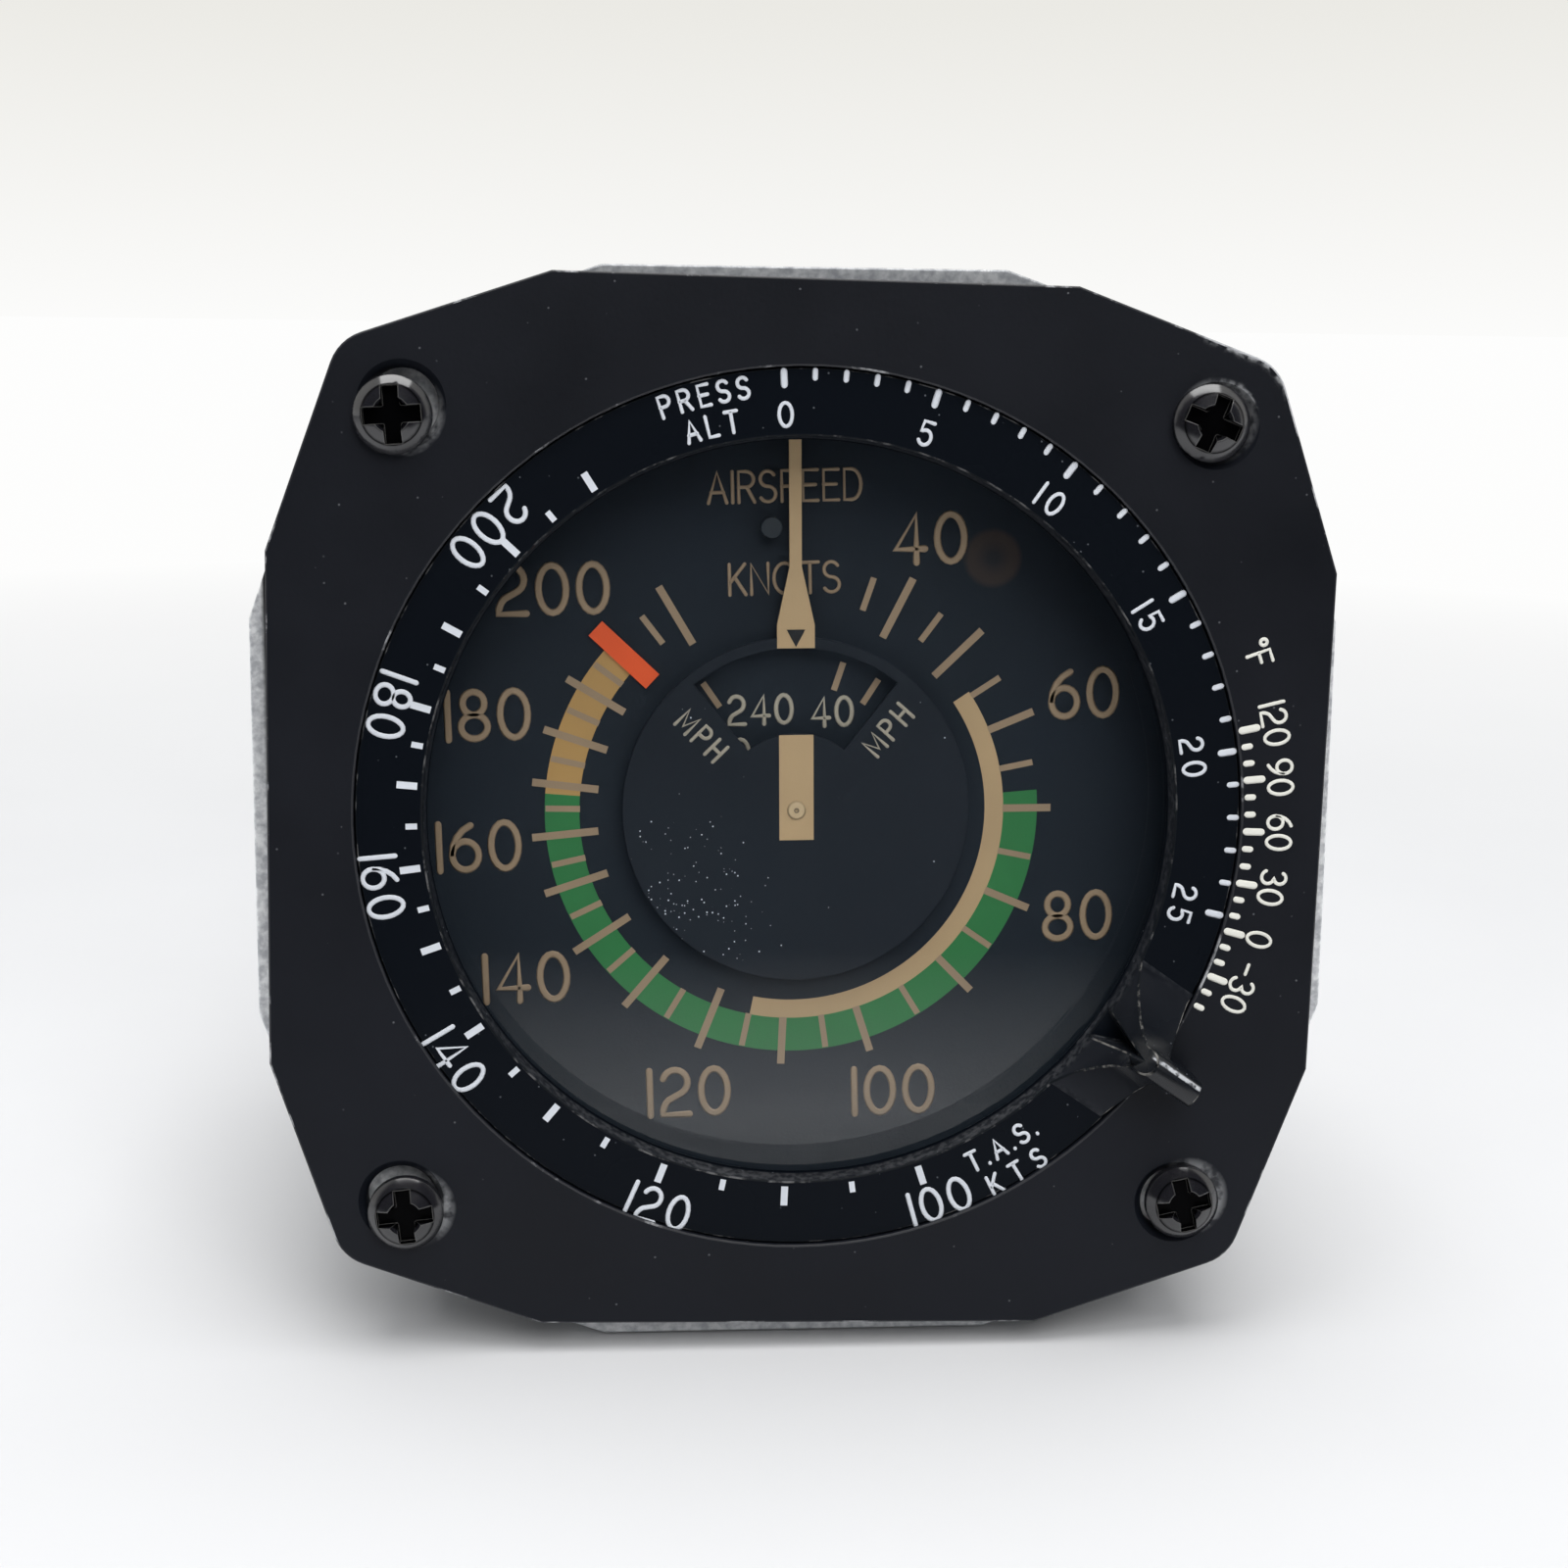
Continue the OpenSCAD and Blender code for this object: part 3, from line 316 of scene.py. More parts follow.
def place_sum(tree, operation, *values):
    """One step of arithmetic on places; a distance, length or product comes out as a number."""
    node = add_node(tree, "VectorMath", operation=operation)
    for socket, value in zip(node.inputs, values):
        feed(tree, socket, value)
    plain = operation in ("DISTANCE", "LENGTH", "DOT_PRODUCT")
    return node.outputs["Value" if plain else "Vector"]


def reach_from(tree, point):
    """How far each place on the piece is from a point."""
    return place_sum(tree, "DISTANCE", spot(tree), point)


dial_paint, dial_tree = new_finish("dial_paint", shade(16, 20, 26), 0.7)
give(dial_tree, "Specular IOR Level", 0.2)
dial_tone = give_grain(dial_tree, scale=600.0, bump=0.1, smooth=0.55, rough=0.75)
dial_colour = blend(dial_tree, dial_tone, shade(26, 33, 40), shade(32, 39, 47))
stain_reach = reach_from(dial_tree, (0.0159, dial_face, 0.0205))
stain_mask = times(
    dial_tree,
    ramp(dial_tree, stain_reach, 0.0025, 0.002),
    ramp(dial_tree, stain_reach, 0.0004, 0.0015, 0.35, 1.0),
)
give(dial_tree, "Base Color", blend(dial_tree, stain_mask, dial_colour, shade(58, 50, 46)))
dress(dial_paint, "dial")
pin_finish, pin_tree = new_finish("darkened_pin", shade(38, 45, 51), 0.5)
give_grain(pin_tree, scale=900.0, bump=0.1, smooth=0.42, rough=0.6)
dress(pin_finish, "zero_stop_pin")
break_edges("zero_stop_pin", 0.0001)


def ink(name, colour):
    finish, tree = new_finish(name, colour, 0.6)
    tone = give_grain(tree, scale=900.0, bump=0.12, smooth=0.5, rough=0.7)
    thin, thick = ([part * share for part in colour] for share in (0.86, 1.1))
    give(tree, "Base Color", blend(tree, tone, thin, thick))
    return finish


tan_ink = ink("tan_ink", shade(152, 128, 101))
cream_ink = ink("cream_ink", shade(182, 152, 112))
green_ink = ink("green_ink", shade(36, 116, 58))
amber_ink = ink("amber_ink", shade(177, 137, 78))
red_ink = ink("red_ink", shade(232, 84, 28))
ink_film = 0.00003
mark_film = 0.00004


def add_mark(mesh, place, angle, inner, outer, width, face, film):
    """A straight mark that points out from the centre, with its film standing proud of a face."""
    mark_place = (
        place
        @ Matrix.Rotation(math.radians(angle), 4, "Y")
        @ Matrix.Translation((0, face - film / 2, (inner + outer) / 2000))
        @ Matrix.Diagonal((width / 1000, film, (outer - inner) / 1000, 1))
    )
    bmesh.ops.create_cube(mesh, size=1, matrix=mark_place)


def add_band(mesh, place, start, end, inner, outer, face, film):
    """An arc of ink from one angle to another, spun from its cross-section."""
    corners = [
        mesh.verts.new((0, depth, reach / 1000))
        for depth, reach in ((face, inner), (face - film, inner), (face - film, outer), (face, outer))
    ]
    sides = [mesh.edges.new((corners[i], corners[i - 1])) for i in range(4)]
    turn_in = place @ Matrix.Rotation(math.radians(start), 4, "Y")
    bmesh.ops.transform(mesh, matrix=turn_in, verts=corners)
    bmesh.ops.spin(
        mesh, geom=corners + sides, cent=place.translation, axis=(0, 1, 0),
        angle=math.radians(end - start), steps=max(6, round((end - start) / 2)),
    )
    open_ends = [edge for edge in mesh.edges if edge.is_boundary]
    bmesh.ops.holes_fill(mesh, edges=open_ends, sides=4)
    bmesh.ops.recalc_face_normals(mesh, faces=mesh.faces)


knot_angles = {
    35: 20.5, 40: 28.7, 45: 38.3, 50: 47.8, 55: 58.8, 60: 69.3, 65: 80.4, 70: 91.3, 75: 103.1,
    80: 114.6, 85: 126.6, 90: 137.3, 95: 150.2, 100: 163.8, 105: 173.6, 110: 184.1, 115: 193.6,
    120: 203.2, 125: 212.8, 130: 222.2, 135: 230.5, 140: 238.8, 145: 246.2, 150: 253.4, 155: 259.3,
    160: 266.2, 165: 272.7, 170: 278.5, 175: 284.5, 180: 290.4, 185: 296.5, 190: 302.6, 195: 308.7,
    205: 324.2, 210: 331.0,
}
white_start, white_end = 57.5, 193.3
arc_bands = (
    ("white_arc", cream_ink, white_start, white_end, 15.9, 17.45),
    ("green_arc", green_ink, 87.0, 276.2, 17.45, 20.27),
    ("yellow_arc", amber_ink, 276.2, 313.5, 17.45, 20.27),
)
for name, finish, start, end, inner, outer in arc_bands:
    band_mesh = bmesh.new()
    add_band(band_mesh, dial_place, start, end, inner, outer, dial_face, 0.00002)
    finish_piece(name, band_mesh, finish, "housing")

mark_mesh = bmesh.new()
for knots, angle in knot_angles.items():
    if knots % 10 == 0:
        inner = 17.4 if white_start < angle < white_end else 16.0
        add_mark(mark_mesh, dial_place, angle, inner, 21.4, 0.62, dial_face, mark_film)
    else:
        add_mark(mark_mesh, dial_place, angle, 17.4, 20.2, 0.5, dial_face, mark_film)
finish_piece("dial_marks", mark_mesh, tan_ink, "housing")

red_mesh = bmesh.new()
add_mark(red_mesh, dial_place, 314.9, 15.7, 22.0, 1.6, dial_face, 0.00025)
finish_piece("red_line", red_mesh, red_ink, "housing")

# Figures and words of the dial, in the one-stroke letters of an engraving machine.
# Each stroke is a line of even width with round ends, printed in the same tan ink.


def bow(across, up, wide, tall, start, end):
    """Points along part of an oval, with angles counted from the right and upwards."""
    steps = max(4, round(abs(end - start) / 18))
    turns = [math.radians(start + (end - start) * step / steps) for step in range(steps + 1)]
    return [(across + wide * math.cos(turn), up + tall * math.sin(turn)) for turn in turns]


six = [bow(0, 0.31, 0.27, 0.31, 180, -180), bow(0.33, 0.31, 0.6, 0.69, 180, 110)]
letter_strokes = {
    "0": [bow(0, 0.5, 0.28, 0.5, 90, -270)],
    "1": [[(0, 0), (0, 1)]],
    "2": [bow(0, 0.72, 0.26, 0.28, 160, -58) + bow(0.03, 0, 0.305, 0.4, 125, 180) + [(0.28, 0)]],
    "3": [bow(0, 0.755, 0.23, 0.245, 155, -90) + bow(0, 0.255, 0.27, 0.255, 90, -155)],
    "4": [[(0.13, 0), (0.13, 1), (-0.3, 0.28), (0.3, 0.28)]],
    "5": [[(0.24, 1), (-0.19, 1), (-0.23, 0.56)] + bow(0, 0.32, 0.27, 0.32, 125, -150)],
    "6": six,
    "8": [bow(0, 0.755, 0.22, 0.245, -90, 270), bow(0, 0.255, 0.27, 0.255, 90, -270)],
    "9": [[(-x, 1 - y) for x, y in stroke] for stroke in six],
    "A": [[(-0.3, 0), (0, 1), (0.3, 0)], [(-0.2, 0.34), (0.2, 0.34)]],
    "D": [[(-0.27, 0), (-0.27, 1)] + bow(-0.03, 0.5, 0.31, 0.5, 90, -90) + [(-0.27, 0)]],
    "E": [[(0.24, 1), (-0.24, 1), (-0.24, 0), (0.24, 0)], [(-0.24, 0.52), (0.17, 0.52)]],
    "F": [[(0.24, 1), (-0.24, 1), (-0.24, 0)], [(-0.24, 0.52), (0.17, 0.52)]],
    "H": [[(-0.27, 0), (-0.27, 1)], [(0.27, 0), (0.27, 1)], [(-0.27, 0.52), (0.27, 0.52)]],
    "I": [[(0, 0), (0, 1)]],
    "K": [[(-0.25, 0), (-0.25, 1)], [(0.26, 1), (-0.25, 0.38)], [(-0.08, 0.58), (0.28, 0)]],
    "L": [[(-0.22, 1), (-0.22, 0), (0.25, 0)]],
    "M": [[(-0.34, 0), (-0.34, 1), (0, 0.2), (0.34, 1), (0.34, 0)]],
    "N": [[(-0.28, 0), (-0.28, 1), (0.28, 0), (0.28, 1)]],
    "O": [bow(0, 0.5, 0.36, 0.5, 90, -270)],
    "P": [[(-0.25, 0), (-0.25, 1)] + bow(0, 0.745, 0.25, 0.255, 90, -90) + [(-0.25, 0.49)]],
    "R": [
        [(-0.25, 0), (-0.25, 1)] + bow(0, 0.745, 0.25, 0.255, 90, -90) + [(-0.25, 0.49)],
        [(0.02, 0.49), (0.27, 0)],
    ],
    "S": [bow(0, 0.75, 0.24, 0.25, 30, 270) + bow(0, 0.25, 0.26, 0.25, 90, -150)],
    "T": [[(-0.28, 1), (0.28, 1)], [(0, 1), (0, 0)]],
    ".": [[(0, 0), (0, 0.03)]],
    "-": [[(-0.2, 0.45), (0.2, 0.45)]],
    "°": [bow(0, 0.86, 0.13, 0.14, 90, -270)],
}


def set_words(words, height, gap=0.26, spread=1.0):
    """The strokes of a line of letters about its own middle, in millimetres."""
    strokes, reach = [], 0.0
    for letter in words:
        shapes = letter_strokes[letter]
        left = min(x for shape in shapes for x, _ in shape)
        right = max(x for shape in shapes for x, _ in shape)
        for shape in shapes:
            strokes.append([((reach + x - left) * spread, y - 0.5) for x, y in shape])
        reach += right - left + gap
    middle = (reach - gap) * spread / 2
    return [[((x - middle) * height, y * height) for x, y in stroke] for stroke in strokes]


def stand_words(strokes, radius, angle, tilt=0.0):
    """Put a line of letters at a radius and angle of the dial, upright or turned by the tilt."""
    swing, lean = math.radians(angle), math.radians(tilt)
    across, up = radius * math.sin(swing), radius * math.cos(swing)
    return [
        [
            (across + x * math.cos(lean) + y * math.sin(lean), up - x * math.sin(lean) + y * math.cos(lean))
            for x, y in stroke
        ]
        for stroke in strokes
    ]


def bend_words(strokes, radius, angle, tops_out=True):
    """Lay a line of letters round a circle, with their tops outwards or inwards."""
    facing = 1 if tops_out else -1
    bent = []
    for stroke in strokes:
        turned = [(math.radians(angle) + facing * x / radius, radius + facing * y) for x, y in stroke]
        bent.append([(reach * math.sin(turn), reach * math.cos(turn)) for turn, reach in turned])
    return bent


round_end = ((0.5, 0.87), (0.87, 0.5), (0.99, 0.1))


def draw_strokes(name, strokes, width, finish, place, face, body, slot, film=ink_film):
    """Draw strokes as round-ended lines, flatten them to a film, and set them on a face."""
    curve = bpy.data.curves.new(name, "CURVE")
    curve.dimensions = "3D"
    curve.bevel_depth = width / 2000
    curve.bevel_resolution = 1
    curve.use_fill_caps = True
    for stroke in strokes:
        looped = math.dist(stroke[0], stroke[-1]) < 0.001
        knots = [(x, y, 1.0) for x, y in stroke]
        if looped:
            knots = knots[:-1]
        else:
            for end, near in ((0, stroke[1]), (-1, stroke[-2])):
                x, y = stroke[end]
                span = math.dist((x, y), near)
                ahead = ((x - near[0]) / span * width / 2, (y - near[1]) / span * width / 2)
                tip = [(x + ahead[0] * far, y + ahead[1] * far, girth) for far, girth in round_end]
                knots = tip[::-1] + knots if end == 0 else knots + tip
        spline = curve.splines.new("POLY")
        spline.use_cyclic_u = looped
        spline.points.add(len(knots) - 1)
        for point, (x, y, girth) in zip(spline.points, knots):
            point.co = (x / 1000, y / 1000, 0, 1)
            point.radius = girth
    drawing = bpy.data.objects.new(name, curve)
    bpy.context.collection.objects.link(drawing)
    bpy.context.view_layer.update()
    drawn = drawing.evaluated_get(bpy.context.evaluated_depsgraph_get())
    mesh = bmesh.new()
    mesh.from_mesh(drawn.to_mesh())
    drawn.to_mesh_clear()
    bpy.data.objects.remove(drawing)
    flatten = Matrix(((1, 0, 0, 0), (0, 0, -film / (width / 2000), face), (0, 1, 0, 0), (0, 0, 0, 1)))
    bmesh.ops.transform(mesh, matrix=place @ flatten, verts=mesh.verts)
    for side in mesh.faces:
        side.smooth = True
    finish_piece(name, mesh, finish, body)


dial_figures = {
    "40": (28.0, 24.9), "60": (69.7, 25.85), "80": (112.4, 25.5), "100": (161.9, 25.3), "120": (201.6, 25.2),
    "140": (239.6, 25.9), "160": (265.6, 25.8), "180": (289.7, 26.05), "200": (314.8, 26.66),
}
figure_strokes = []
for figure, (angle, radius) in dial_figures.items():
    figure_strokes += stand_words(set_words(figure, 3.82, spread=1.04), radius, angle)
draw_strokes("dial_figures", figure_strokes, 0.6, tan_ink, *on_dial)
word_strokes = stand_words(set_words("AIRSPEED", 2.45, gap=0.2), 26.5, 0)
word_strokes += stand_words(set_words("KNOTS", 2.45, gap=0.19), 19.1, -0.6)
draw_strokes("dial_words", word_strokes, 0.3, tan_ink, *on_dial)

# The inner scale in miles per hour, printed on the same dial where the pointer's window passes.
# Only the part of it that the photograph's window uncovers is known, so only that part is printed.
mph_mesh = bmesh.new()
for angle in (20.1, 34.4, -33.1):
    add_mark(mph_mesh, dial_place, angle, 10.5, 12.9, 0.5, dial_face, mark_film)
finish_piece("mph_marks", mph_mesh, tan_ink, "housing")
mph_strokes = []
for figure, radius, angle in (("40", 8.8, 22.9), ("240", 8.8, -16.1), ("0", 6.4, -40.0)):
    mph_strokes += stand_words(set_words(figure, 2.3), radius, angle)
pale_ink = ink("pale_ink", shade(166, 156, 138))
draw_strokes("mph_figures", mph_strokes, 0.38, pale_ink, *on_dial)

# Pointer: one sheet of aluminium with a round disc and a blade, painted as the dial is.
# The blade and a centre bar carry cream ink, and the disc is peppered with dust.
dust_specks, dust_in, dust_out = start_group(
    "dust_specks", {"Scale": 900.0, "Share": 0.1}, {"Mask": "NodeSocketFloat"}
)
dust_cells = add_node(dust_specks, "TexVoronoi")
feed(dust_specks, dust_cells.inputs["Vector"], spot(dust_specks))
feed(dust_specks, dust_cells.inputs["Scale"], dust_in["Scale"])
dust_parts = add_node(dust_specks, "SeparateColor")
feed(dust_specks, dust_parts.inputs["Color"], dust_cells.outputs["Color"])
dust_mask = times(
    dust_specks,
    ramp(dust_specks, dust_cells.outputs["Distance"], 0.32, 0.22),
    ramp(dust_specks, dust_parts.outputs["Green"], 0.0, 1.0, 0.4, 1.0),
    reckon(dust_specks, "LESS_THAN", dust_parts.outputs["Red"], dust_in["Share"]),
)
feed(dust_specks, dust_out["Mask"], dust_mask)

pointer_face = 0.0002
pointer_place = Matrix.Rotation(math.radians(-0.8), 4, "Y")
on_pointer = (pointer_place, pointer_face, "pointer", "dial_black")
pointer_paint, pointer_tree = new_finish("pointer_paint", shade(24, 29, 36), 0.6)
give(pointer_tree, "Specular IOR Level", 0.25)
pointer_tone = give_grain(pointer_tree, scale=600.0, bump=0.08, smooth=0.5, rough=0.7)
disc_colour = blend(pointer_tree, pointer_tone, shade(22, 28, 35), shade(29, 35, 43))
heap_reach = reach_from(pointer_tree, (-0.0093, pointer_face, -0.0072))
heap_share = times(
    pointer_tree,
    ramp(pointer_tree, heap_reach, 0.0085, 0.002, 0.02, 1.0),
    ramp(pointer_tree, noise(pointer_tree, 350.0), 0.42, 0.62, 0.15, 1.0),
    0.3,
)
disc_dust = place_group(pointer_tree, dust_specks, scale=4400.0, share=heap_share)
disc_colour = blend(pointer_tree, disc_dust.outputs["Mask"], disc_colour, shade(236, 240, 246))
blade_reach = place_sum(pointer_tree, "LENGTH", spot(pointer_tree))
blade_mask = ramp(pointer_tree, blade_reach, 0.01422, 0.01426)
give(pointer_tree, "Base Color", blend(pointer_tree, blade_mask, disc_colour, shade(166, 142, 109)))
dress(pointer_paint, "pointer")
break_edges("pointer", 0.00005)

bar_mesh = bmesh.new()
add_mark(bar_mesh, pointer_place, 0, -2.45, 6.2, 2.8, pointer_face, ink_film)
blade_outline = (
    (-1.52, 13.25), (1.52, 13.25), (1.52, 15.1), (0.49, 19.8),
    (0.49, 30.45), (-0.49, 30.45), (-0.49, 19.8), (-1.52, 15.1),
)
blade_corners = [bar_mesh.verts.new((x / 1000, pointer_face, z / 1000)) for x, z in blade_outline]
blade_sheet = bar_mesh.faces.new(blade_corners)
blade_skin = bmesh.ops.extrude_face_region(bar_mesh, geom=[blade_sheet])
blade_front = [part for part in blade_skin["geom"] if isinstance(part, bmesh.types.BMVert)]
bmesh.ops.translate(bar_mesh, verts=blade_front, vec=(0, -ink_film, 0))
bmesh.ops.transform(bar_mesh, matrix=pointer_place, verts=blade_corners + blade_front)
bmesh.ops.recalc_face_normals(bar_mesh, faces=bar_mesh.faces)
finish_piece("pointer_ink", bar_mesh, cream_ink, "pointer")
on_staff = (pointer_place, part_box("handstaff")[0][1], "pointer", "dial_black")
staff_ink = ink("staff_ink", shade(190, 164, 127))
draw_strokes("staff_end", [bow(0, 0, 0.38, 0.38, 90, -270)], 0.76, staff_ink, *on_staff)
dark_ink = ink("dark_ink", shade(104, 88, 68))
draw_strokes("staff_dot", [bow(0, 0, 0.17, 0.17, 90, -270)], 0.13, dark_ink, *on_staff, film=0.00005)

black_ink = ink("black_ink", shade(24, 26, 30))
index_mesh = bmesh.new()
index_outline = ((-0.75, 14.75), (0.75, 14.75), (0, 13.35))
index_mesh.faces.new(
    [index_mesh.verts.new((x / 1000, pointer_face - mark_film, z / 1000)) for x, z in index_outline]
)
bmesh.ops.transform(index_mesh, matrix=pointer_place, verts=index_mesh.verts)
bmesh.ops.solidify(index_mesh, geom=index_mesh.faces, thickness=ink_film)
bmesh.ops.recalc_face_normals(index_mesh, faces=index_mesh.faces)
finish_piece("pointer_index", index_mesh, black_ink, "pointer")
disc_words = stand_words(set_words("MPH", 1.7, gap=0.42), 9.9, -51, 46)
disc_words += stand_words(set_words("MPH", 1.7, gap=0.42), 9.9, 49, -48)
draw_strokes("pointer_words", disc_words, 0.3, pale_ink, *on_pointer)

# Glass: a clear disc with a stepped rim, held by a retaining ring with a black gasket behind it.
# Lamplight goes straight through it to the dial, and its face mirrors the room.


def mix_shaders(tree, mask, under, over):
    """Lay one shader over another where the mask is 1."""
    node = add_node(tree, "MixShader")
    for socket, value in zip(node.inputs, (mask, under.outputs[0], over.outputs[0])):
        feed(tree, socket, value)
    return node


glass_finish, glass_tree = new_finish("window_glass", (0.97, 0.985, 1.0), 0.0)
give(glass_tree, "Transmission Weight", 1.0)
give(glass_tree, "IOR", 1.42)
see_through = add_node(glass_tree, "BsdfTransparent")
feed(glass_tree, see_through.inputs["Color"], (0.94, 0.96, 0.97))
glass_rays = add_node(glass_tree, "LightPath").outputs
lamp_rays = reckon(glass_tree, "MAXIMUM", glass_rays["Is Shadow Ray"], glass_rays["Is Diffuse Ray"])
glass_mix = mix_shaders(glass_tree, lamp_rays, glass_tree.nodes["Principled BSDF"], see_through)
feed(glass_tree, glass_tree.nodes["Material Output"].inputs["Surface"], glass_mix.outputs["Shader"])
dress(glass_finish, "glass")

# Mounting flange: aluminium plate brazed over the front of the barrel and sawn to its outline.
# Its flats were left bare and carry the saw's hatch marks; the rest is black like the case.
screw_half = 0.031435
flange_flat = (0.0418, 0.0421)


def split(tree, place):
    """The three measures of a place, by the name of the axis."""
    node = add_node(tree, "SeparateXYZ")
    tree.links.new(place, node.inputs["Vector"])
    return node.outputs


flange_finish, flange_tree = new_finish("flange_metal", shade(190, 192, 196), 0.45, 0.5)
flange_fold = place_sum(flange_tree, "ABSOLUTE", spot(flange_tree))
flange_sides = split(flange_tree, flange_fold)
flange_reach = reckon(flange_tree, "MAXIMUM", flange_sides["X"], flange_sides["Z"])
flange_side = ramp(flange_tree, flange_reach, *flange_flat)
seat_reach = place_sum(flange_tree, "DISTANCE", flange_fold, (screw_half, 0.0045, screw_half))
seat_bare = ramp(flange_tree, seat_reach, 0.0046, 0.0044)
flange_bare = reckon(flange_tree, "MAXIMUM", flange_side, seat_bare)
saw_place = add_node(flange_tree, "Mapping")
feed(flange_tree, saw_place.inputs["Scale"], (1, 0.06, 1))
feed(flange_tree, saw_place.inputs["Vector"], spot(flange_tree))
saw_marks = noise(flange_tree, 1500.0, 4.0, saw_place.outputs["Vector"])
saw_ridges = ramp(flange_tree, saw_marks, 0.35, 0.65)
saw_colour = blend(flange_tree, saw_ridges, shade(192, 194, 198), shade(250, 251, 252))
# Painted shade: the top and bottom flats are painted darker than the sides, as they catch less light.
painted_end_shade = ramp(flange_tree, flange_sides["Z"], *flange_flat, 0.0, 0.5)
saw_colour = blend(flange_tree, painted_end_shade, saw_colour, shade(70, 74, 80))
give(flange_tree, "Base Color", blend(flange_tree, flange_bare, shade(27, 28, 31), saw_colour))
give(flange_tree, "Metallic", times(flange_tree, flange_bare, 0.45))
give(flange_tree, "Normal", bump(flange_tree, saw_marks, 0.15))
dress(flange_finish, "mounting_flange")
break_edges("mounting_flange", 0.0002)

# Ring that the pilot turns: moulded gloss-black plastic with a finger tab, held under the bezel plate.
# Its scales are engraved and filled with white paint, and its edges are rubbed grey. Painted sheen lightens
# its leaning faces, and painted highlights lie along the tab's edges and its fin.
ring_face = -0.0065
plate_place = Matrix.Translation((0.0001, 0, 0.0003)) @ Matrix.Rotation(math.radians(0.9), 4, "Y")
on_ring = (plate_place, ring_face, "ring", "ring_gloss")
tab_turn = math.radians(124.9)
tab_foot = (-0.0064, -0.0067)
ring_finish, ring_tree = new_finish("ring_gloss", shade(11, 14, 19), 0.25)
ring_tone = give_grain(ring_tree, scale=300.0, bump=0.04, smooth=0.2, rough=0.34)
ring_coords = add_node(ring_tree, "TexCoord").outputs
ring_parts = split(ring_tree, ring_coords["Object"])
# Painted sheen, with some real rubbing by fingers: faces that lean away from the front, the tab's ramps and
# the ring's inner wall, are painted lighter, most at their foot and towards the bottom of the ring, where
# they catch the light.
sheen_and_handling = times(
    ring_tree,
    ramp(ring_tree, split(ring_tree, ring_coords["Normal"])["Y"], -0.99, -0.965),
    ramp(ring_tree, ring_parts["Y"], -0.0088, -0.0064, 0.3, 0.9),
    ramp(ring_tree, ring_tone, 0.3, 0.6, 0.4, 1.0),
    ramp(ring_tree, ring_parts["Z"], -0.01, -0.024, 0.35, 1.0),
)
wall_grit = noise(ring_tree, 1900.0, 5.0)
gritty_sheen = times(ring_tree, sheen_and_handling, ramp(ring_tree, wall_grit, 0.42, 0.62, 0.25, 1.0))
wall_colour = blend(ring_tree, gritty_sheen, shade(14, 18, 24), shade(70, 71, 74))
tab_colour = blend(ring_tree, sheen_and_handling, shade(12, 15, 20), shade(44, 46, 51))
on_tab = ramp(ring_tree, ring_parts["Y"], *tab_foot)
ring_colour = blend(ring_tree, on_tab, wall_colour, tab_colour)
# Painted highlight: a narrow bright line along the fin's upper shoulder, where a lamp glints on its rounded
# top.
fin_side = (-math.cos(tab_turn), 0, math.sin(tab_turn))
fin_across = place_sum(ring_tree, "DOT_PRODUCT", ring_coords["Object"], fin_side)
fin_highlight = times(
    ring_tree,
    ramp(ring_tree, fin_across, 0.0008, 0.0009),
    ramp(ring_tree, fin_across, 0.00118, 0.00108),
    ramp(ring_tree, ring_parts["Y"], -0.0109, -0.0111),
    ramp(ring_tree, wall_grit, 0.42, 0.56, 0.15, 1.0),
)
ring_colour = blend(ring_tree, fin_highlight, ring_colour, shade(186, 188, 192))
ring_dust = place_group(ring_tree, dust_specks, scale=3600.0, share=0.007)
ring_colour = blend(ring_tree, ring_dust.outputs["Mask"], ring_colour, shade(92, 96, 102))
give(ring_tree, "Base Color", ring_colour)
give(ring_tree, "Specular IOR Level", ramp(ring_tree, ring_parts["Y"], -0.0088, -0.0098, 0.045, 0.5))
ring_edge, rim_tree = new_finish("ring_edge", shade(24, 26, 30), 0.35)
give(rim_tree, "Specular IOR Level", 0.1)
# The rounded edges carry rubbed grey patches of worn paint; on the tab the patches are more and lighter,
# which paints the highlights along the tab's edges.
tab_edge = ramp(rim_tree, split(rim_tree, spot(rim_tree))["Y"], *tab_foot)
tab_amount = ramp(rim_tree, tab_edge, 0.0, 1.0, 0.26, 0.31)
rim_rubbed = place_group(rim_tree, rubbed_paint, scale=520.0, amount=tab_amount)
rim_wear_and_highlight = blend(rim_tree, tab_edge, shade(80, 81, 84), shade(120, 118, 114))
give(rim_tree, "Base Color", blend(rim_tree, rim_rubbed.outputs["Mask"], shade(20, 23, 27), rim_wear_and_highlight))
dress(ring_finish, "tas_ring")
break_edges("tas_ring", 0.00012, ring_edge, join_flats=False)

white_fill = ink("white_fill", shade(208, 212, 219))
long_width, short_width = 0.56, 0.46


def cut_line(angle, inner, outer, width):
    """A straight cut that points out from the centre, with the round ends that a cutter leaves."""
    turn = math.radians(angle)
    ends = (inner + width / 2, outer - width / 2)
    return [(reach * math.sin(turn), reach * math.cos(turn)) for reach in ends]


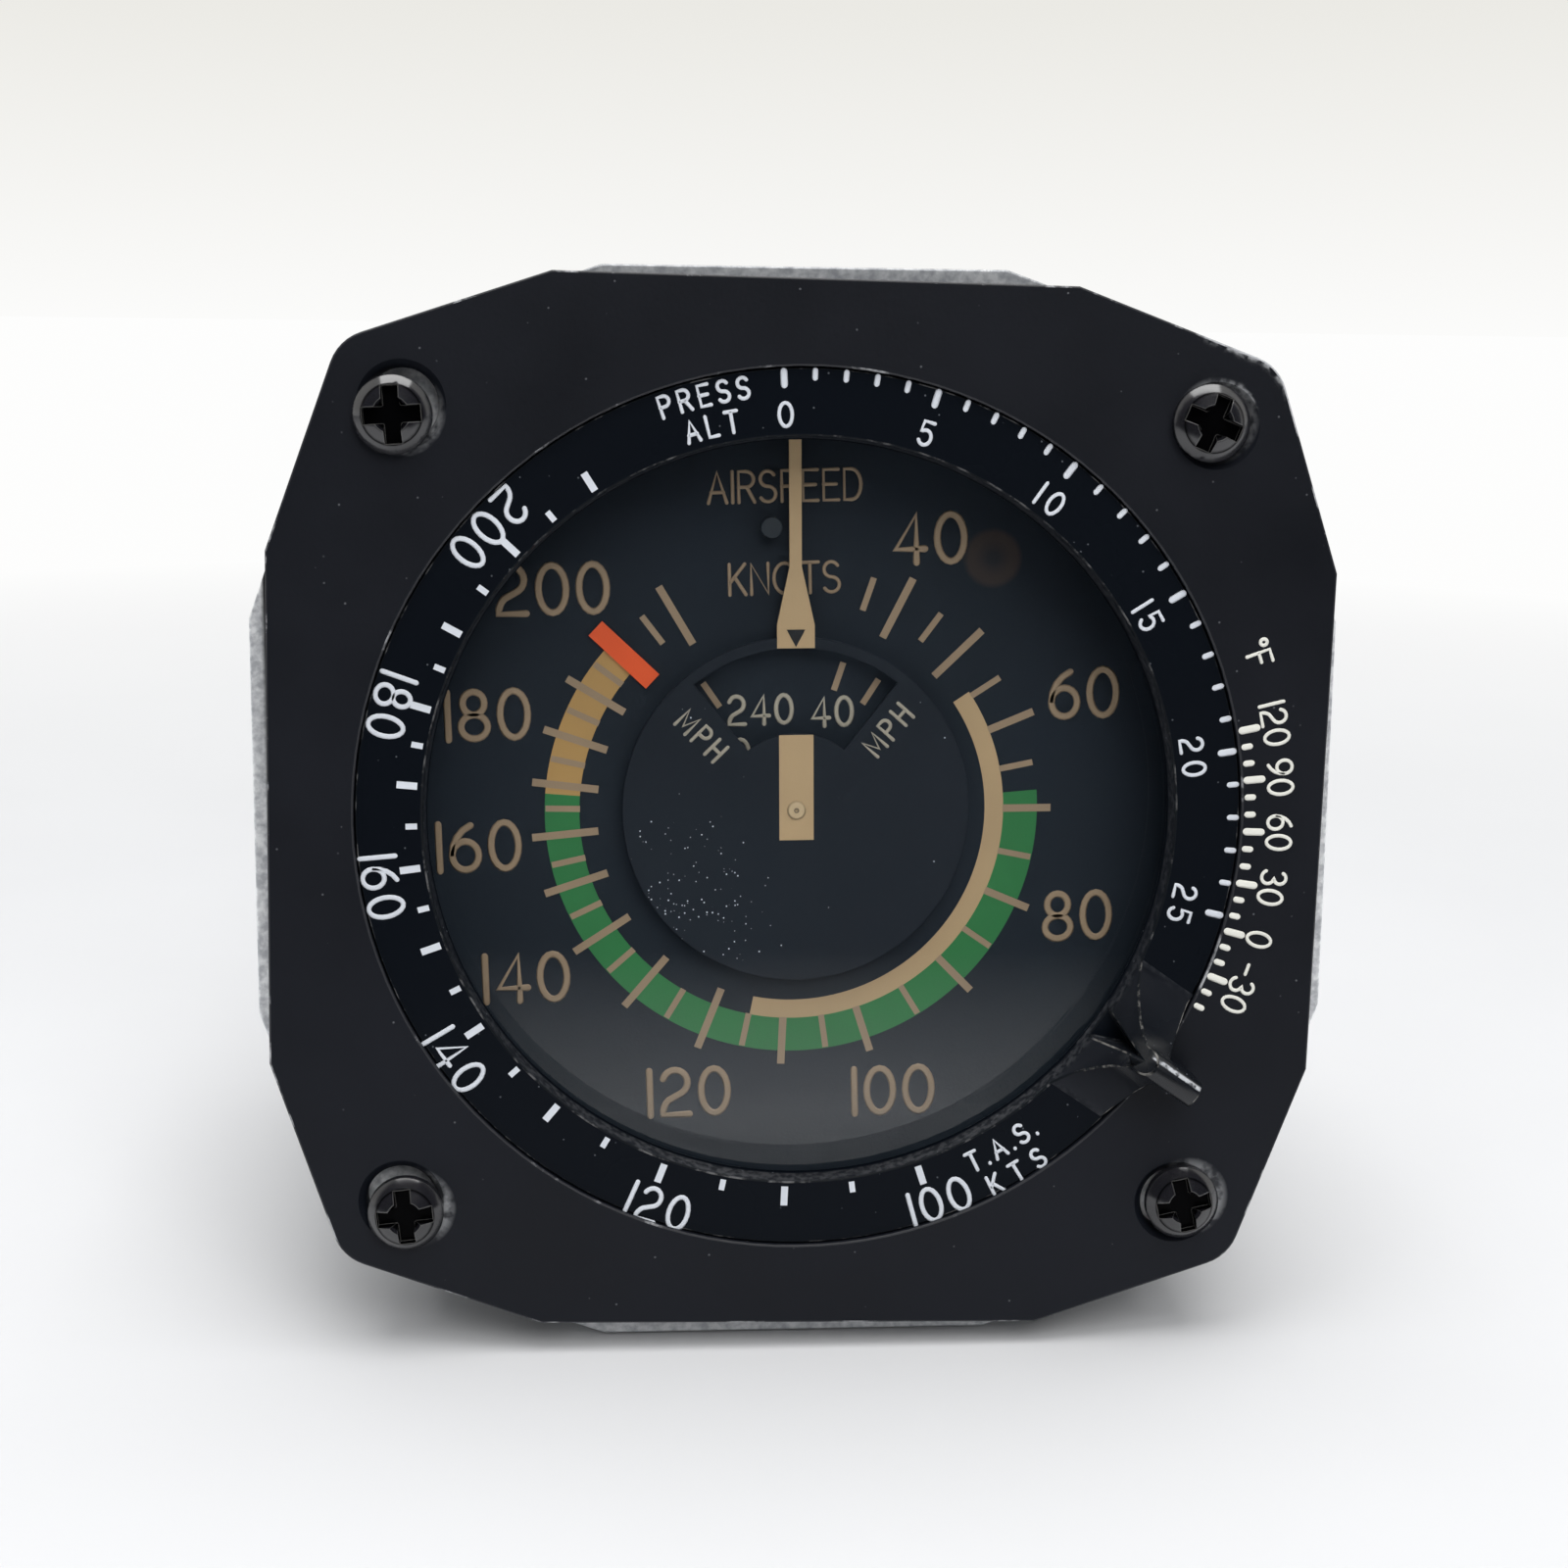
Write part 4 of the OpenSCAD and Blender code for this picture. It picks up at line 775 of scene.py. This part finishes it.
long_cuts, short_cuts = [], []
for thousands in range(26):
    angle = -4.0 + 4.0 * min(thousands, 10) + 4.43 * max(0, thousands - 10)
    if thousands % 5 == 0:
        long_cuts.append(cut_line(angle, 33.5, 35.05, long_width))
    else:
        short_cuts.append(cut_line(angle, 34.05, 35.05, short_width))
speed_angles = {
    100: 160.5, 105: 171.0, 110: 181.3, 115: 190.8, 120: 200.2, 125: 209.8, 130: 219.0, 135: 227.3,
    140: 235.8, 145: 242.5, 150: 249.6, 155: 255.6, 160: 261.7, 165: 268.0, 170: 274.0, 175: 280.0,
    180: 285.5, 185: 291.7, 190: 297.5, 195: 304.7, 200: 311.9, 205: 319.2, 210: 326.5,
}
ring_mesh = bmesh.new()
for speed, angle in speed_angles.items():
    if speed % 10 == 0:
        add_mark(ring_mesh, plate_place, angle, 30.3, 31.9, long_width, ring_face, ink_film)
    else:
        add_mark(ring_mesh, plate_place, angle, 30.25, 31.15, short_width, ring_face, ink_film)
finish_piece("ring_speed_marks", ring_mesh, white_fill, "ring")
draw_strokes("ring_long_marks", long_cuts, long_width, white_fill, *on_ring)
draw_strokes("ring_short_marks", short_cuts, short_width, white_fill, *on_ring)
ring_strokes = []
for thousands, angle in ((0, -4.0), (5, 16.1), (10, 36.3), (15, 58.4), (20, 80.2), (25, 102.0)):
    ring_strokes += bend_words(set_words(str(thousands), 1.8, gap=0.52), 31.5, angle)
ring_strokes += bend_words(set_words("PRESS", 1.6, gap=0.46), 33.8, -14.6)
ring_strokes += bend_words(set_words("ALT", 1.6, gap=0.46), 31.4, -14.5)
ring_strokes += bend_words(set_words("T.A.S.", 1.6, gap=0.42), 31.75, 147.85, False)
ring_strokes += bend_words(set_words("KTS", 1.6, gap=0.75), 34.3, 147.8, False)
draw_strokes("ring_small_figures", ring_strokes, 0.3, white_fill, *on_ring)
speed_strokes = []
speed_figures = {
    100: (159.1, 33.78), 120: (198.7, 33.84), 140: (233.8, 33.72),
    160: (259.8, 33.5), 180: (284.5, 33.36), 200: (311.8, 33.33),
}
for speed, (angle, radius) in speed_figures.items():
    speed_strokes += bend_words(set_words(str(speed), 2.75, gap=0.32), radius, angle, False)
draw_strokes("ring_speed_figures", speed_strokes, 0.4, white_fill, *on_ring)

# Bezel plate: black anodised aluminium sheet with round corners, screwed over the ring and the flange.
# Its finish is matte and slightly smeared, and one corner and its screw holes are rubbed to bare metal.
plate_face = -0.0069
on_plate = (plate_place, plate_face, "housing", "bezel_black")


def from_screw(tree, place):
    """How far each place is from the line of the nearest of the four screws."""
    flat = place_sum(tree, "MULTIPLY", place_sum(tree, "ABSOLUTE", place), (1, 0, 1))
    return place_sum(tree, "DISTANCE", flat, (screw_half, 0, screw_half))


def round_edges(tree, radius):
    """A normal that rounds sharp edges, and how well it agrees with the true one: 1 on a flat."""
    rounded = add_node(tree, "Bevel", samples=6)
    feed(tree, rounded.inputs["Radius"], radius)
    true = add_node(tree, "NewGeometry")
    normal = rounded.outputs["Normal"]
    return normal, place_sum(tree, "DOT_PRODUCT", normal, true.outputs["Normal"])


plate_finish, plate_tree = new_finish("bezel_black", shade(20, 22, 28), 0.55)
give(plate_tree, "Specular IOR Level", 0.2)
plate_tone = give_grain(plate_tree, scale=420.0, bump=0.12, smooth=0.46, rough=0.62)
plate_smears = ramp(plate_tree, plate_tone, 0.3, 0.7)
plate_colour = blend(plate_tree, plate_smears, shade(13, 16, 23), shade(19, 22, 30))
plate_dust = place_group(plate_tree, dust_specks, scale=3200.0, share=0.006)
plate_colour = blend(plate_tree, plate_dust.outputs["Mask"], plate_colour, shade(84, 86, 90))
scuffs = noise(plate_tree, 1100.0, 6.0)
hole_spot = place_sum(plate_tree, "SUBTRACT", spot(plate_tree), (0.0006, 0, 0.0002))
hole_near = ramp(plate_tree, from_screw(plate_tree, hole_spot), 0.0034, 0.0027)
hole_bare = times(plate_tree, hole_near, ramp(plate_tree, scuffs, 0.4, 0.58, 0.15, 1.0))
plate_colour = blend(plate_tree, hole_bare, plate_colour, shade(124, 125, 127))
chip_reach = reach_from(plate_tree, (0.0355, plate_face, 0.0378))
chip_mask = times(
    plate_tree,
    ramp(plate_tree, round_edges(plate_tree, 0.0009)[1], 0.99, 0.94),
    ramp(plate_tree, chip_reach, 0.0055, 0.003),
    ramp(plate_tree, scuffs, 0.44, 0.56),
)
give(plate_tree, "Base Color", blend(plate_tree, chip_mask, plate_colour, shade(176, 177, 179)))
plate_edge, edge_tree = new_finish("bezel_edge", shade(40, 41, 46), 0.45)
corner_reach = reach_from(edge_tree, (0.0352, plate_face, 0.0385))
corner_worn = ramp(edge_tree, corner_reach, 0.008, 0.003, 0.22, 0.5)
edge_mask = place_group(edge_tree, rubbed_paint, scale=200.0, amount=corner_worn).outputs["Mask"]
give(edge_tree, "Base Color", blend(edge_tree, edge_mask, shade(38, 39, 44), shade(170, 171, 174)))
dress(plate_finish, "bezel_plate", "glass_retainer")
break_edges("bezel_plate", 0.00016, plate_edge, sharp=60)

# Temperature scale engraved in the plate beside the ring, and filled with off-white paint.
# Each span of thirty degrees has two short cuts between its long ones.
cream_fill = ink("off_white_fill", shade(226, 225, 216))
heat_angles = {120: 77.7, 90: 84.2, 60: 90.9, 30: 97.7, 0: 104.2, -30: 110.5}
heat_list = list(heat_angles.values())
heat_long, heat_short = [], []
for index, angle in enumerate(heat_list):
    heat_long.append(cut_line(angle, 35.3, 37.1, 0.6))
    following = heat_list[index + 1] if index + 1 < len(heat_list) else angle + 6.4
    for part in (1, 2):
        heat_short.append(cut_line(angle + (following - angle) * part / 3, 35.35, 36.3, 0.5))
draw_strokes("plate_long_marks", heat_long, 0.6, cream_fill, *on_plate)
draw_strokes("plate_short_marks", heat_short, 0.5, cream_fill, *on_plate)
heat_strokes = []
for degrees, angle in heat_angles.items():
    heat_strokes += bend_words(set_words(str(degrees), 2.0, gap=0.26), 38.3, angle)
heat_strokes += bend_words(set_words("°F", 1.9, gap=0.22), 38.3, 68.9)
draw_strokes("plate_figures", heat_strokes, 0.29, cream_fill, *on_plate)

# Four pan-head machine screws with cross recesses, blackened and glossy, which hold plate and flange.
# Their tails are threaded for the nuts behind the panel.
screw_finish, screw_tree = new_finish("blackened_steel", shade(17, 17, 19), 0.14)
give_grain(screw_tree, scale=700.0, bump=0.05, smooth=0.08, rough=0.2)
screw_depth = split(screw_tree, spot(screw_tree))["Y"]
# Painted shade: the cross recess is painted near black and matte, as the shade inside it.
shaded_recess = times(
    screw_tree,
    ramp(screw_tree, from_screw(screw_tree, spot(screw_tree)), 0.0024, 0.0023),
    ramp(screw_tree, screw_depth, -0.00845, -0.0083),
    ramp(screw_tree, screw_depth, -0.0071, -0.0073),
)
screw_colour = blend(screw_tree, shaded_recess, shade(28, 28, 32), shade(5, 5, 6))
screw_normal, screw_lean = round_edges(screw_tree, 0.00016)
screw_worn = ramp(screw_tree, screw_lean, 0.93, 0.78, 0.0, 0.6)
give(screw_tree, "Base Color", blend(screw_tree, screw_worn, screw_colour, shade(118, 116, 114)))
give(screw_tree, "Specular IOR Level", ramp(screw_tree, shaded_recess, 0.0, 1.0, 0.9, 0.02))
give(screw_tree, "Normal", screw_normal)
dress(screw_finish, "mounting_screws")

tail_radius = 0.00146
tail_crest = 0.00027
tail_start = 0.0006
tail_pitch = 0.000794
tail_mesh = bmesh.new()
for across in (-screw_half, screw_half):
    for up in (-screw_half, screw_half):
        wind_thread(tail_mesh, (across, 0, up), tail_radius, tail_crest, tail_start, tail_pitch, 10, 18)
bmesh.ops.recalc_face_normals(tail_mesh, faces=tail_mesh.faces)
finish_piece("screw_threads", tail_mesh, screw_finish, "housing")

# Letters beside the two ports at the back, P for pitot and S for static.
# They are painted in the plate's off-white on the case's rear wall.
rear_face = -0.0491
rear_place = Matrix.Rotation(math.pi, 4, "Z")
letter_across, letter_up = 12.005, 10.8
port_letters = []
for letter, side in (("P", 1), ("S", -1)):
    for stroke in set_words(letter, 3.4):
        port_letters.append([(x + side * letter_across, y + letter_up) for x, y in stroke])
draw_strokes("port_letters", port_letters, 0.42, cream_fill, rear_place, rear_face, "housing", "case_black")

# Three cheese-head screws that hold the movement's posts to the rear wall.
# Each head has a slot sawn across it, so it is two raised halves on a disc.
post_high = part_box("post_screws")[1]
post_radius = 0.0019
post_circle = (post_high[0] - post_radius) / math.cos(math.radians(20))
slot_deep = 0.00055
slot_open = math.acos(0.00024 / post_radius)
post_mesh = bmesh.new()
for turn in (20, 122, 238):
    across, up = (post_circle * part(math.radians(turn)) for part in (math.cos, math.sin))
    seat = (
        Matrix.Translation((across, post_high[1] - slot_deep, up))
        @ Matrix.Rotation(-math.pi / 2, 4, "X")
        @ Matrix.Rotation(math.radians(turn * 1.7), 4, "Z")
    )
    for radius, depth, middle in ((post_radius, 0.00045, -0.000225), (0.001, 0.006, -0.0034)):
        bmesh.ops.create_cone(
            post_mesh, cap_ends=True, segments=48, radius1=radius, radius2=radius, depth=depth,
            matrix=seat @ Matrix.Translation((0, 0, middle)),
        )
    for half in (0, math.pi):
        turns = [half + slot_open * (step / 12 - 1) for step in range(25)]
        rim = [seat @ Vector((post_radius * math.cos(t), post_radius * math.sin(t), 0)) for t in turns]
        half_head = post_mesh.faces.new([post_mesh.verts.new(point) for point in rim])
        raised = bmesh.ops.extrude_face_region(post_mesh, geom=[half_head])
        crown = [part for part in raised["geom"] if isinstance(part, bmesh.types.BMVert)]
        bmesh.ops.translate(post_mesh, verts=crown, vec=(0, slot_deep, 0))
bmesh.ops.recalc_face_normals(post_mesh, faces=post_mesh.faces)
post_heads = finish_piece("slotted_post_screws", post_mesh, screw_finish, "housing")
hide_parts("post_screws")

# Table: a white board that the flange's lower edge and the back of the barrel rest on.
# A dark sheet that only reflections see stands for the unlit room in front of it.
table_lean = math.atan2(0.043035 - 0.038296, 0.0476)
table_place = Matrix.Translation((0, 0, -0.04304)) @ Matrix.Rotation(table_lean, 4, "X")
table_mesh = bmesh.new()
bmesh.ops.create_grid(table_mesh, x_segments=4, y_segments=4, size=1.6, matrix=table_place)
table_finish, table_tree = new_finish("table_white", shade(228, 228, 229), 0.8)
table_tone = give_grain(table_tree, scale=60.0, bump=0.02, smooth=0.7, rough=0.9)
give(table_tree, "Base Color", blend(table_tree, table_tone, shade(210, 210, 211), shade(224, 224, 225)))
table_white = add_node(table_tree, "Emission")
feed(table_tree, table_white.inputs["Color"], (0.985, 0.985, 0.98))
table_far = ramp(table_tree, place_sum(table_tree, "LENGTH", spot(table_tree)), 0.16, 0.42)
table_seen = add_node(table_tree, "LightPath").outputs["Is Camera Ray"]
table_shader = table_tree.nodes["Principled BSDF"]
table_fade = mix_shaders(table_tree, times(table_tree, table_far, table_seen), table_shader, table_white)
table_clear = add_node(table_tree, "BsdfTransparent")
table_back = add_node(table_tree, "NewGeometry").outputs["Backfacing"]
table_mix = mix_shaders(table_tree, times(table_tree, table_back, table_seen), table_fade, table_clear)
feed(table_tree, table_tree.nodes["Material Output"].inputs["Surface"], table_mix.outputs["Shader"])
table = make_object("table", table_mesh, table_finish)

room_mesh = bmesh.new()
room_place = table_place @ Matrix.Translation((0, -0.1, 0.9)) @ Matrix.Rotation(math.pi / 2, 4, "X")
bmesh.ops.create_grid(room_mesh, x_segments=1, y_segments=1, size=0.9, matrix=room_place)
room_finish, room_tree = new_finish("dark_room", shade(10, 12, 16), 1.0)
give(room_tree, "Specular IOR Level", 0.0)
give(room_tree, "Alpha", ramp(room_tree, split(room_tree, spot(room_tree))["Z"], -0.056, -0.034))
room = make_object("dark_room", room_mesh, room_finish)
for rays in ("camera", "diffuse", "shadow", "volume_scatter"):
    setattr(room, "visible_" + rays, False)

# Light: a wide soft lamp above, a weaker one from the right front, and a pale room all round.
# The camera, mirrors and glass see that room as a near-white backdrop, brighter than it shines.
world = bpy.data.worlds.new("pale_room")
bpy.context.scene.world = world
world.use_nodes = True
sky = world.node_tree
lit = sky.nodes["Background"]
feed(sky, lit.inputs["Color"], (0.94, 0.97, 1.0))
feed(sky, lit.inputs["Strength"], 0.38)
seen = add_node(sky, "Background")
sky_parts = split(sky, add_node(sky, "TexCoord").outputs["Generated"])
sky_height = ramp(sky, sky_parts["Z"], 0.03, 0.18)
feed(sky, seen.inputs["Color"], blend(sky, sky_height, (0.985, 0.985, 0.98), (0.83, 0.82, 0.78)))
sky_rays = add_node(sky, "LightPath").outputs
seen_by = sky_rays["Is Camera Ray"]
for kind in ("Is Glossy Ray", "Is Transmission Ray"):
    seen_by = reckon(sky, "MAXIMUM", seen_by, sky_rays[kind])
sky_mix = mix_shaders(sky, seen_by, lit, seen)
feed(sky, sky.nodes["World Output"].inputs["Surface"], sky_mix.outputs["Shader"])

for name, stand, size, power in (
    ("overhead_lamp", (0.0, -0.1, 0.75), 0.7, 6.2),
    ("front_lamp", (0.15, -0.7, 0.55), 0.5, 3.4),
):
    lamp_data = bpy.data.lights.new(name, "AREA")
    lamp_data.size = size
    lamp_data.energy = power
    lamp = bpy.data.objects.new(name, lamp_data)
    bpy.context.collection.objects.link(lamp)
    lamp.location = stand
    lamp.rotation_euler = (-Vector(stand)).to_track_quat("-Z", "Y").to_euler()

# Camera: a little above the dial's centre and to its left, close enough to show the taper of the case.
# Its place and lens were worked out from the plate's outline and the four screws.
camera_data = bpy.data.cameras.new("camera")
camera_data.lens = 51.444
camera_data.sensor_width = 36
camera_data.clip_start = 0.01
camera = bpy.data.objects.new("camera", camera_data)
bpy.context.collection.objects.link(camera)
camera.location = (-0.014213, -0.180527, 0.029988)
camera.rotation_euler = [math.radians(angle) for angle in (81.2189, -0.5643, -4.1075)]
bpy.context.scene.camera = camera
bpy.context.scene.view_settings.view_transform = "Standard"
